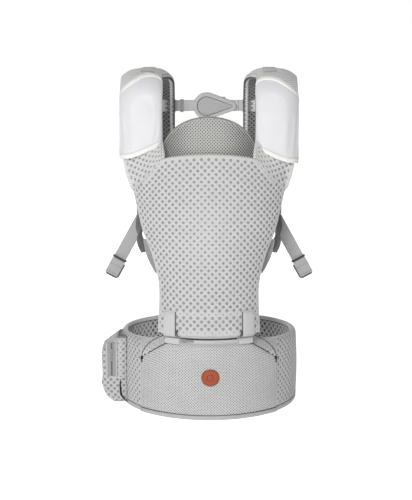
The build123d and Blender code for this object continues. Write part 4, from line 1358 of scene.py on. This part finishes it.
def pocket_zip():
    """The pocket's upright zip: two tapes, coils of teeth and stitched edges."""
    body, slot = "wing_left", "zip_tape"
    front = POCKET_TAPE_F
    flat = lambda s, t: point(s, front, t)
    for label, low, high in (("outer", -181.0, -173.5), ("inner", -172.5, -165.0)):
        tape = shell(f"pocket_zip_tape_{label}", flat, between(low, high), (53.0, 114.0), (10, 30), 1.6, body, slot,
                     ZIP_DARK, top=lambda s, t: 0.5 * np.cos((s - POCKET_ZIP_X) * 0.25))
        if label == "outer":
            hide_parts("pocket_zip_tape")
    for tag, coil_x in (("a", -173.7), ("b", -172.3)):
        line = point(coil_x, front + 0.6, np.linspace(54, 113, 30))
        stitches(f"pocket_zip_coil_{tag}", line, FRONT, body, slot, SHADED_WEBBING_AND_COIL, 1.5, 1.7, 0.6, turned=True)
    for tag, edge_x in (("a", -181.6), ("b", -164.4)):
        line = point(edge_x, front - 0.4, np.linspace(52, 114, 30))
        piping(f"pocket_zip_piping_{tag}", line, 1.3, body, slot, RIM)
    # A near-black tapered strip where the pouch meets the belt: painted shade in the fold between them.
    corners = [(-157.5, 72.5, 47), (-158.5, 72.0, 34), (-157.0, 72.0, 18), (-150.0, 71.0, 8), (-145.0, 69.5, 4)]
    fold = even(np.array(corners), 2.0)
    share = np.linspace(0, 1, len(fold))
    way = unit(np.gradient(fold, axis=0))
    beside = unit(np.stack([-way[:, 2], 0 * share, way[:, 0]], axis=1))
    line = point(*fold.T)
    profile = tapered(oval(1.0, 0.8, 10), 0.4 + 1.3 * np.sin(math.pi * share), 1.0)
    sweep("pocket_fold_shade", line, beside, FRONT, profile, body, "belt_mesh", PAINTED_FOLD_SHADE)
    line = point(np.linspace(-181.6, -164.4, 8), np.full(8, front - 2.0), np.full(8, 52.0))
    piping("pocket_zip_foot", line, 0.9, body, slot, RIM)


pocket_zip()


def merged(piece):
    """Joins a piece's points that coincide, and turns its faces outwards."""
    work = bmesh.new()
    work.from_mesh(piece.data)
    bmesh.ops.remove_doubles(work, verts=work.verts, dist=SAME_PLACE)
    bmesh.ops.recalc_face_normals(work, faces=work.faces)
    work.to_mesh(piece.data)
    work.free()
    return piece


# ---- corner tabs, gussets and the zip under the panel ----
def panel_s(x):
    """Distance along the panel's curve, near its foot, at a place across the front view."""
    scale = panel_scale(160.0)
    return np.sign(x) * scale * np.interp(np.abs(x) / scale, PANEL_X, _u)


def pillow(low, high, foot, head, start, rise):
    """Height of a patch that is sewn down round its edges."""

    def height(s, t):
        inside = np.minimum(np.minimum(s - low, high - s), np.minimum(t - foot, head - t))
        return start + rise * np.clip(inside / 4.0, 0, 1) ** 0.5

    return height


FOOT_RADIUS, ZIP_RADIUS, ZIP_HALF = 130.0, 125.0, 49.0
TAB_INNER, TAB_OUTER, TAB_FOOT, TAB_HEAD = 56.5, 77.5, 148.5, 192.5
SEAT_TAB_FOOT, SEAT_TAB_HEAD = 136.0, 145.6
GUSSET_FOOT, GUSSET_HEAD, GUSSET_TIP = np.array([(91, 110, 244), (90.5, 111, 303), (114, 110.5, 307)], float)
GUSSET_WIDE, GUSSET_TALL = 20, 56  # ranges of s and t on a gusset


def zip_face(s, t):
    """The arc that the zip under the panel follows."""
    turn = s / ZIP_RADIUS
    forward = PANEL_BOTTOM_F - FOOT_RADIUS + (ZIP_RADIUS + 2.2) * np.cos(turn)
    return point((ZIP_RADIUS + 2.2) * np.sin(turn), forward, t)


def build_foot():
    """The panel's corner tabs, the gussets and the zip between the panel and the seat."""
    for label, side in SIDES.items():
        low, high = sorted((side * panel_s(TAB_INNER), side * panel_s(TAB_OUTER)))
        tab = shell(f"panel_corner_patch_{label}", panel, between(low, high), (TAB_FOOT, TAB_HEAD), (16, 26), 1.6,
                    "panel", "webbing", TAB, top=pillow(low, high, TAB_FOOT, TAB_HEAD, 1.2, 2.0))
        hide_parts(f"panel_corner_tab_{label}")
        for height, tag in ((TAB_HEAD - 3, "top"), (TAB_HEAD - 6, "second"), (TAB_FOOT + 3, "foot")):
            line = on(panel, np.linspace(low + 1.5, high - 1.5, 12), height, 3.2)
            stitches(f"panel_corner_stitches_{tag}_{label}", line, FRONT, "panel", "webbing", THREAD, 3.0, 2.0)
        # A dark cord along the tab's inner edge: painted shadow at the side of the raised tab.
        edge = on(panel, np.full(24, side * panel_s(TAB_INNER)), np.linspace(150, 191, 24), np.full(24, 1.8))
        piping(f"panel_corner_edge_shade_{label}", edge, 0.8, "panel", "webbing", DARK_THREAD_AND_SHADE)
        # A short dark strip in the slit beside the tab: painted shadow of the folded webbing.
        fold = side * panel_s(52.5)
        line = on(panel, np.full(14, fold), np.linspace(150, 161, 14), 1.5)
        line[:, 0] += side * np.array([2.5 * math.sin(k / 13 * math.pi) for k in range(14)])
        ribbon(f"panel_corner_fold_shade_{label}", line, [0.25, -1, 0], 5.0, 1.6, "panel", "webbing", DARK_THREAD_AND_SHADE, 1.5)
        low, high = sorted((side * panel_s(49.5), side * panel_s(74.5)))
        patch = shell(f"seat_corner_patch_{label}", panel, between(low, high), (SEAT_TAB_FOOT, SEAT_TAB_HEAD), (16, 10),
                      6.0, "seat", "cover_fabric", TAB,
                      top=lambda s, t: -0.6 + 1.4 * np.clip((SEAT_TAB_HEAD - t) / 4, 0, 1) ** 0.6)
        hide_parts(f"seat_corner_tab_{label}")

        def gusset(s, t, side=side):
            """A cloth triangle that widens from its foot to the adjuster webbing."""
            share, along = s[..., None] / GUSSET_WIDE, t[..., None] / GUSSET_TALL
            share = (1 - share) if side < 0 else share
            place = GUSSET_FOOT + along * (GUSSET_HEAD + share * (GUSSET_TIP - GUSSET_HEAD) - GUSSET_FOOT)
            bulge = 4.5 * share[..., 0] * np.sin(math.pi * along[..., 0])
            return point(side * (place[..., 0] + bulge), place[..., 1], place[..., 2])

        piece = shell(f"panel_gusset_patch_{label}", gusset, between(0, GUSSET_WIDE), (2.0, GUSSET_TALL), (12, 24), 2.2,
                      "panel", "cover_fabric", GUSSET,
                      top=lambda s, t: 1.4 * np.clip(np.minimum(s, GUSSET_WIDE - s) / 4, 0, 1) ** 0.5)
        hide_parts(f"panel_gusset_{label}")
    zip_run = np.linspace(-ZIP_HALF + 1, ZIP_HALF - 1, 60)
    for name, body, low, high, coil, seam in (("lower", "seat", 136.6, 145.8, 145.2, 136.6 + 1.2),
                                              ("upper", "panel", 146.1, 151.5, 146.8, 151.5 - 1.0)):
        tape = shell(f"seat_zip_tape_{name}_band", zip_face, between(-ZIP_HALF, ZIP_HALF), (low, high), (50, 8), 1.3,
                     body, "zip_tape", TAPE, top=lambda s, t: 0.25 * np.cos(t * 1.4))
        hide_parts(f"seat_zip_tape_{name}")
        stitches(f"seat_zip_coil_{name}", on(zip_face, zip_run, coil, 0.5), FRONT, body, "zip_tape", COIL, 1.8, 1.8,
                 0.8, turned=True)
        stitches(f"seat_zip_stitches_{name}", on(zip_face, zip_run, seam, 0.5), FRONT, body, "zip_tape", THREAD, 2.8,
                 1.9)


build_foot()


# ---- webbing of the shoulder straps ----
TAIL_WIDE = 22.5
TOP_TAB_INNER, TOP_TAB_OUTER = 94.5, 117.5
TAIL_TOP, TAIL_END, TAIL_F = np.array([117.0, 335.0]), np.array([162.0, 253.0]), 27.0


def build_webbing(label, side):
    """One side's webbing: tongue, adjuster, loose tail with its keeper, and the tab on top of the strap."""
    def line(points):
        points = np.asarray(points, float)
        return point(side * points[:, 0], points[:, 1], points[:, 2])

    share = np.linspace(0, 1, 24)
    # The tongue takes the darker copy of the grey webbing: painted shade where it lies.
    start, end = np.array([112.0, -77, 394.5]), np.array([112.0, 16, 362.5])
    tongue = start + (end - start) * share[:, None] + np.array([0, 0, -2.5]) * np.sin(share * math.pi)[:, None]
    piece = ribbon(f"strap_tongue_web_{label}", line(tongue), [1, 0, 0], WEB, 2.6, "panel", "webbing", SHADED_WEBBING_AND_COIL)
    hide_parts(f"strap_tongue_{label}")
    for tag, beside in (("a", -10.5), ("b", 10.5)):
        row = line(tongue + [beside, 0, 1.5])
        stitches(f"strap_tongue_stitches_{tag}_{label}", row, UP, "panel", "webbing", THREAD)
    # The adjuster, the same webbing as its loose tail, takes the darker copy: painted shade where it turns edge-on in
    # shadow.
    start, end = np.array([114.0, 26, 342]), np.array([106.0, 109, 285])
    run = start + (end - start) * share[:, None]
    run[:, 0] += 8.0 * np.sin(share * math.pi)
    run[:, 2] -= 5.0 * np.sin(share * math.pi)
    turn = math.pi * smooth_step(share, 0.15, 0.85)
    way = unit(end - start)
    flat = unit(np.cross(way, UP))
    beside = np.cross(way, flat)
    across = np.cos(turn)[:, None] * flat + np.sin(turn)[:, None] * beside
    width = np.array([side, -1, 1]) * across
    piece = ribbon(f"adjuster_web_{label}", line(run), width, WEB - 1, 2.0, "panel", "webbing", SHADED_WEBBING_AND_COIL, 2.5)
    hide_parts(f"adjuster_webbing_{label}")

    way = unit(TAIL_END - TAIL_TOP)
    length = float(np.linalg.norm(TAIL_END - TAIL_TOP))
    cross = np.array([side * way[1], 0, -way[0]]) * -1
    body = f"tail_{label}"
    along = np.linspace(-3.0, length + 1.0, 40)
    sway = 2.0 * np.sin(along / length * math.pi * 1.3)
    tail = np.stack([TAIL_TOP[0] + way[0] * along, TAIL_F + sway * 0.5, TAIL_TOP[1] + way[1] * along], axis=1)
    piece = ribbon(f"adjuster_tail_web_{label}", line(tail), cross, TAIL_WIDE, 2.0, body, "webbing", WEBBING)
    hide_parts(f"adjuster_tail_{label}")
    fold = []
    first, last = length - 3.0, length + 27.5
    for at, f in ((first, 2.6), (last - 2.5, 2.6), (last - 0.6, 1.9), (last, 0.2), (last - 0.6, -1.5),
                  (last - 2.5, -2.4), (first + 2, -2.2)):
        place = TAIL_TOP + way * at
        fold.append([place[0], TAIL_F + f, place[1]])
    piece = ribbon(f"tail_fold_web_{label}", line(fold), cross, TAIL_WIDE + 1.6, 2.2, body, "webbing", WEBBING, 1.2)
    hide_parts(f"tail_fold_{label}")

    def on_tail(at, in_front):
        place = TAIL_TOP + way * at
        return np.array([side * place[0], WAIST_Y - TAIL_F - in_front, place[1]])

    for tag, at in (("a", last - 4.0), ("b", last - 19.0)):
        row = on_tail(at, 3.9) + np.linspace(-11, 11, 8)[:, None] * cross
        stitches(f"tail_fold_stitches_{tag}_{label}", row, FRONT, body, "webbing", DARK_THREAD_AND_SHADE, 2.8, 2.0)
    # A dark cord round the folded end: painted shade along the fold's edges.
    half = TAIL_WIDE / 2 + 1.0
    centre = on_tail(last + 0.8, 0.6)[None]
    back = -np.array([side * way[0], 0, way[1]])
    border = [centre - half * cross + 27 * back, centre - half * cross + 2 * back, centre - (half - 3) * cross,
              centre + (half - 3) * cross]
    piping(f"tail_end_edge_shade_{label}", np.concatenate(border), 2.4, body, "webbing", DARK_THREAD_AND_SHADE, step=2.0)
    centre = on_tail(length - 5.5, 0.4)
    down = -back
    reach = TAIL_WIDE / 2 + 1.6
    loop = oval(1, 1, 40)
    loop = np.sign(loop) * np.abs(loop) ** [0.55, 0.7] * [reach, 3.4]
    ring = centre + loop[:, :1] * cross + loop[:, 1:] * FRONT
    round_way = unit(np.roll(ring, -1, axis=0) - np.roll(ring, 1, axis=0))
    piece = sweep(f"tail_keeper_loop_{label}", ring, down, np.cross(round_way, down), round_bar(3.4, 1.1),
                  f"keeper_{label}", "elastic", ELASTIC, closed=True)
    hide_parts(f"tail_keeper_{label}")

    outer = strap_surface(side)

    def span(t):
        middle = strap_centre(strap_frame(t)[0][..., 0])
        low, high = TOP_TAB_INNER - middle, TOP_TAB_OUTER - middle
        return (low, high) if side > 0 else (-high, -low)

    ts = np.linspace(150, 330, 300)
    at = strap_frame(ts)[0][:, 0]
    t_range = (float(np.interp(-66, -at, ts)), float(np.interp(8, -at, ts)))
    tab = shell(f"strap_top_patch_{label}", outer, span, t_range, (14, 44), 1.6, "panel", "webbing", BIND,
                top=lambda s, t: np.full(s.shape, 0.7))
    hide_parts(f"strap_top_tab_{label}")
    for tag, t_at in (("front", t_range[0] + 3), ("rear", t_range[1] - 3)):
        low, high = span(np.array(t_at))
        row = on(outer, np.linspace(low + 1, high - 1, 12), t_at, 0.8)
        stitches(f"strap_top_stitches_{tag}_{label}", row, [0, -0.3, 1], "panel", "webbing", DARK_THREAD_AND_SHADE, 2.6, 2.0, 0.5)


on_both_sides(build_webbing)


# ---- cross strap ----
CROSS_LEAN = math.atan2(18, 160)
CROSS_F, CROSS_Z = -60 - 28 * math.tan(CROSS_LEAN) + 7 / math.cos(CROSS_LEAN), 524.0


def cross_point(x, v, high):
    """A place in the cross strap's plane: x, up along it and out in front of it."""
    lean_sin, lean_cos = math.sin(CROSS_LEAN), math.cos(CROSS_LEAN)
    return point(x, CROSS_F + v * lean_sin + high * lean_cos, CROSS_Z + v * lean_cos - high * lean_sin)


def cross_face(s, t):
    """The cross strap's plane, s across and t up it."""
    return cross_point(s, t, 0.0)


def teardrop(grow):
    """Outline of the cover and the line inside it that each point belongs to."""
    left, right, big, small = -4.0, 41.0, 24.5 + grow, 9.0 + grow
    open_angle = math.acos((big - small) / (right - left))
    edge, spine = [], []
    for centre, radius, first, last, number in (
        (left, big, open_angle, 2 * math.pi - open_angle, 42),
        (right, small, -open_angle, open_angle, 14),
    ):
        for turn in np.linspace(first, last, number):
            edge.append((centre + radius * math.cos(turn), radius * math.sin(turn)))
            spine.append((centre, 0.0))
        final, follow = edge[-1], (right if centre == left else left)
        turn = -open_angle if centre == left else open_angle
        radius = small if centre == left else big
        goal = (follow + radius * math.cos(turn), radius * math.sin(turn))
        for share in np.linspace(0, 1, 16)[1:-1]:
            edge.append((final[0] + (goal[0] - final[0]) * share, final[1] + (goal[1] - final[1]) * share))
            spine.append((centre + (follow - centre) * share, 0.0))
    return np.array(edge), np.array(spine)


def rings_piece(name, rings, body, slot, material):
    """A mesh through rings of points, with one flat face over its first ring."""
    rows, columns = len(rings), len(rings[0])
    points = np.concatenate(rings)
    faces = [list(q) for q in grid_faces(rows, columns, wrap_columns=True)]
    faces.append(list(range(columns))[::-1])
    uv = np.stack([points[:, 0], points[:, 2]], axis=1)
    return merged(make(name, points, faces, body, slot, material, uv))


def build_cross():
    """The cross strap: end loops, webbing, slider and the teardrop cover."""
    body = "cross_strap"
    for label, low, high in (("left", -88, -60), ("right", 60, 84)):
        loop = shell(f"cross_loop_web_{label}", cross_face, between(low, high), (-11, 11), (16, 12), -0.2, body,
                     "webbing", CROSS_WEB,
                     top=lambda s, t: 2.3 + 0.3 * np.clip(np.minimum(s - low, high - s) / 3, 0, 1))
        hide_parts(f"cross_loop_{label}")
        for tag, v in (("a", -9.3), ("b", 9.3)):
            row = cross_point(np.linspace(low + 1, high - 1, 12), v, 2.8)
            stitches(f"cross_loop_stitches_{tag}_{label}", row, FRONT, body, "webbing", THREAD)
    for label, low, high in (("left", -61, -24), ("right", 40, 61)):
        web = shell(f"cross_web_{label}", cross_face, between(low, high), (-10, 10), (20, 12), -0.2, body, "webbing",
                    CROSS_WEB, top=lambda s, t: 2.2 - 0.5 * np.clip((np.abs(t) - 7) / 3, 0, 1) ** 2)
        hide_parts(f"cross_webbing_{label}")
    for tag, x in (("a", -62.5), ("b", -57.0), ("c", 62.0)):
        row = cross_point(np.full(10, x), np.linspace(-9.5, 9.5, 10), 2.9)
        stitches(f"cross_bar_stitches_{tag}", row, FRONT, body, "webbing", RIM, 2.4, 1.9, 0.5)
    guide = shell("cross_slider_loop", cross_face, between(-52, -46), (-11.5, 11.5), (8, 16), 0.9, body,
                  "buckle_plastic", WEBBING,
                  top=lambda s, t: 2.6 + 1.2 * np.clip((3 - np.abs(s + 49)) / 1.5, 0, 1) ** 0.5)
    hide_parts("cross_slider")
    steps = [(0.0, 2.4), (0.0, 6.5), (-0.6, 8.6), (-1.8, 10.0), (-3.5, 10.6), (-5.2, 10.2), (-6.6, 8.8), (-7.4, 7.0)]
    steps += [(-7.8, 5.2)]
    rings = [cross_point(*teardrop(inset)[0].T, high) for inset, high in steps]
    rim = rings_piece("cross_cover_roll", rings, body, "piping", RIM)
    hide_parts("cross_cover_rim")
    edge, spine = teardrop(-7.2)
    steps = [(1.0, 5.0), (1.0, 7.4), (0.93, 8.4), (0.8, 9.0), (0.6, 9.5), (0.4, 9.8), (0.2, 9.9), (0.0, 9.9)]
    rings = [cross_point(*(spine + (edge - spine) * share).T, high) for share, high in steps]
    insert = rings_piece("cross_cover_twill", rings, body, "twill", TWILL)
    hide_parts("cross_cover_insert")
    edge, _ = teardrop(-7.4)
    piping("cross_cover_groove", cross_point(*ring_of(edge).T, 7.6), 0.7, body, "piping", DARK_THREAD_AND_SHADE, closed=True)
    row = cross_point(np.full(8, 53.0), np.linspace(-9, 9, 8), 2.6)
    stitches("cross_end_stitches", row, FRONT, body, "webbing", DARK_THREAD_AND_SHADE, 2.2, 1.8, 0.4)


build_cross()


# ---- leather badge, buckles and the rest of the CAD nodes ----
BADGE_X, BADGE_Z = 2.5, 78.0


def build_badge():
    """A leather disc with a rolled edge, a stitched ring and a plain pressed ring."""
    turn = np.linspace(0, 2 * math.pi, 72, endpoint=False)[::-1]

    def ring(radius, high):
        x, z = BADGE_X + radius * np.cos(turn), BADGE_Z + radius * np.sin(turn)
        return point(x, seat_front_depth(x, z) + high, z)

    steps = [(15.0, -0.5), (15.1, 1.0), (14.6, 1.9), (13.6, 2.2), (12.6, 2.0), (12.0, 1.7), (11.4, 2.0), (9.0, 2.25)]
    steps += [(6.6, 2.3), (6.2, 1.9), (5.6, 1.9), (5.2, 2.3), (2.5, 2.4), (0.0, 2.4)]
    disc = rings_piece("leather_disc", [ring(radius, 1.0 + high) for radius, high in steps], "seat", "leather", LEATHER)
    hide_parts("leather_badge")
    row = ring_of(ring(12.0, 2.9))
    stitches("leather_stitches", row, FRONT, "seat", "leather", LEATHER_EDGE, 2.2, 1.4, 0.3)
    for name, radius, high, cord, step in (("pressed_ring", 5.9, 2.95, 0.55, 0.8),
                                           ("pressed_dot", 1.4, 2.95, 0.55, 0.8), ("edge_ring", 14.9, 1.6, 0.7, 2.5)):
        line = ring_of(ring(radius, high))
        piping(f"leather_{name}", line, cord, "seat", "leather", LEATHER_EDGE, closed=True, step=step)


build_badge()

WAIST_WEB_F, WAIST_WEB_Z, WAIST_WEB_WIDE = -113.5, 64.0, 38.0
for label, low, high in (("left", -44.5, -22.0), ("right", 31.0, 44.5)):
    line = point(np.linspace(low, high, 14), WAIST_WEB_F - 1.5 * np.linspace(-1, 1, 14) ** 2, WAIST_WEB_Z)
    web = ribbon(f"waist_web_{label}", line, UP, WAIST_WEB_WIDE, 2.2, f"wing_{label}", "webbing", WEBBING)
    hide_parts(f"waist_webbing_{label}")

CAD_LOOKS = {
    "seat_base_board": BOARD_GREY,
    "seat_core": FOAM,
    "waist_buckle_plug": PLASTIC,
    "waist_buckle_socket": PLASTIC,
    "cross_buckle_socket": PLASTIC,
    "cross_buckle_plug": PLASTIC,
    "ladder_lock_left": PLASTIC,
    "ladder_lock_right": PLASTIC,
    "seat_zip_slider": METAL,
    "pocket_zip_slider": METAL,
}
for node, material in CAD_LOOKS.items():
    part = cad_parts[node]
    if not part.material_slots:
        part.data.materials.append(None)
    for place in part.material_slots:
        place.material = material
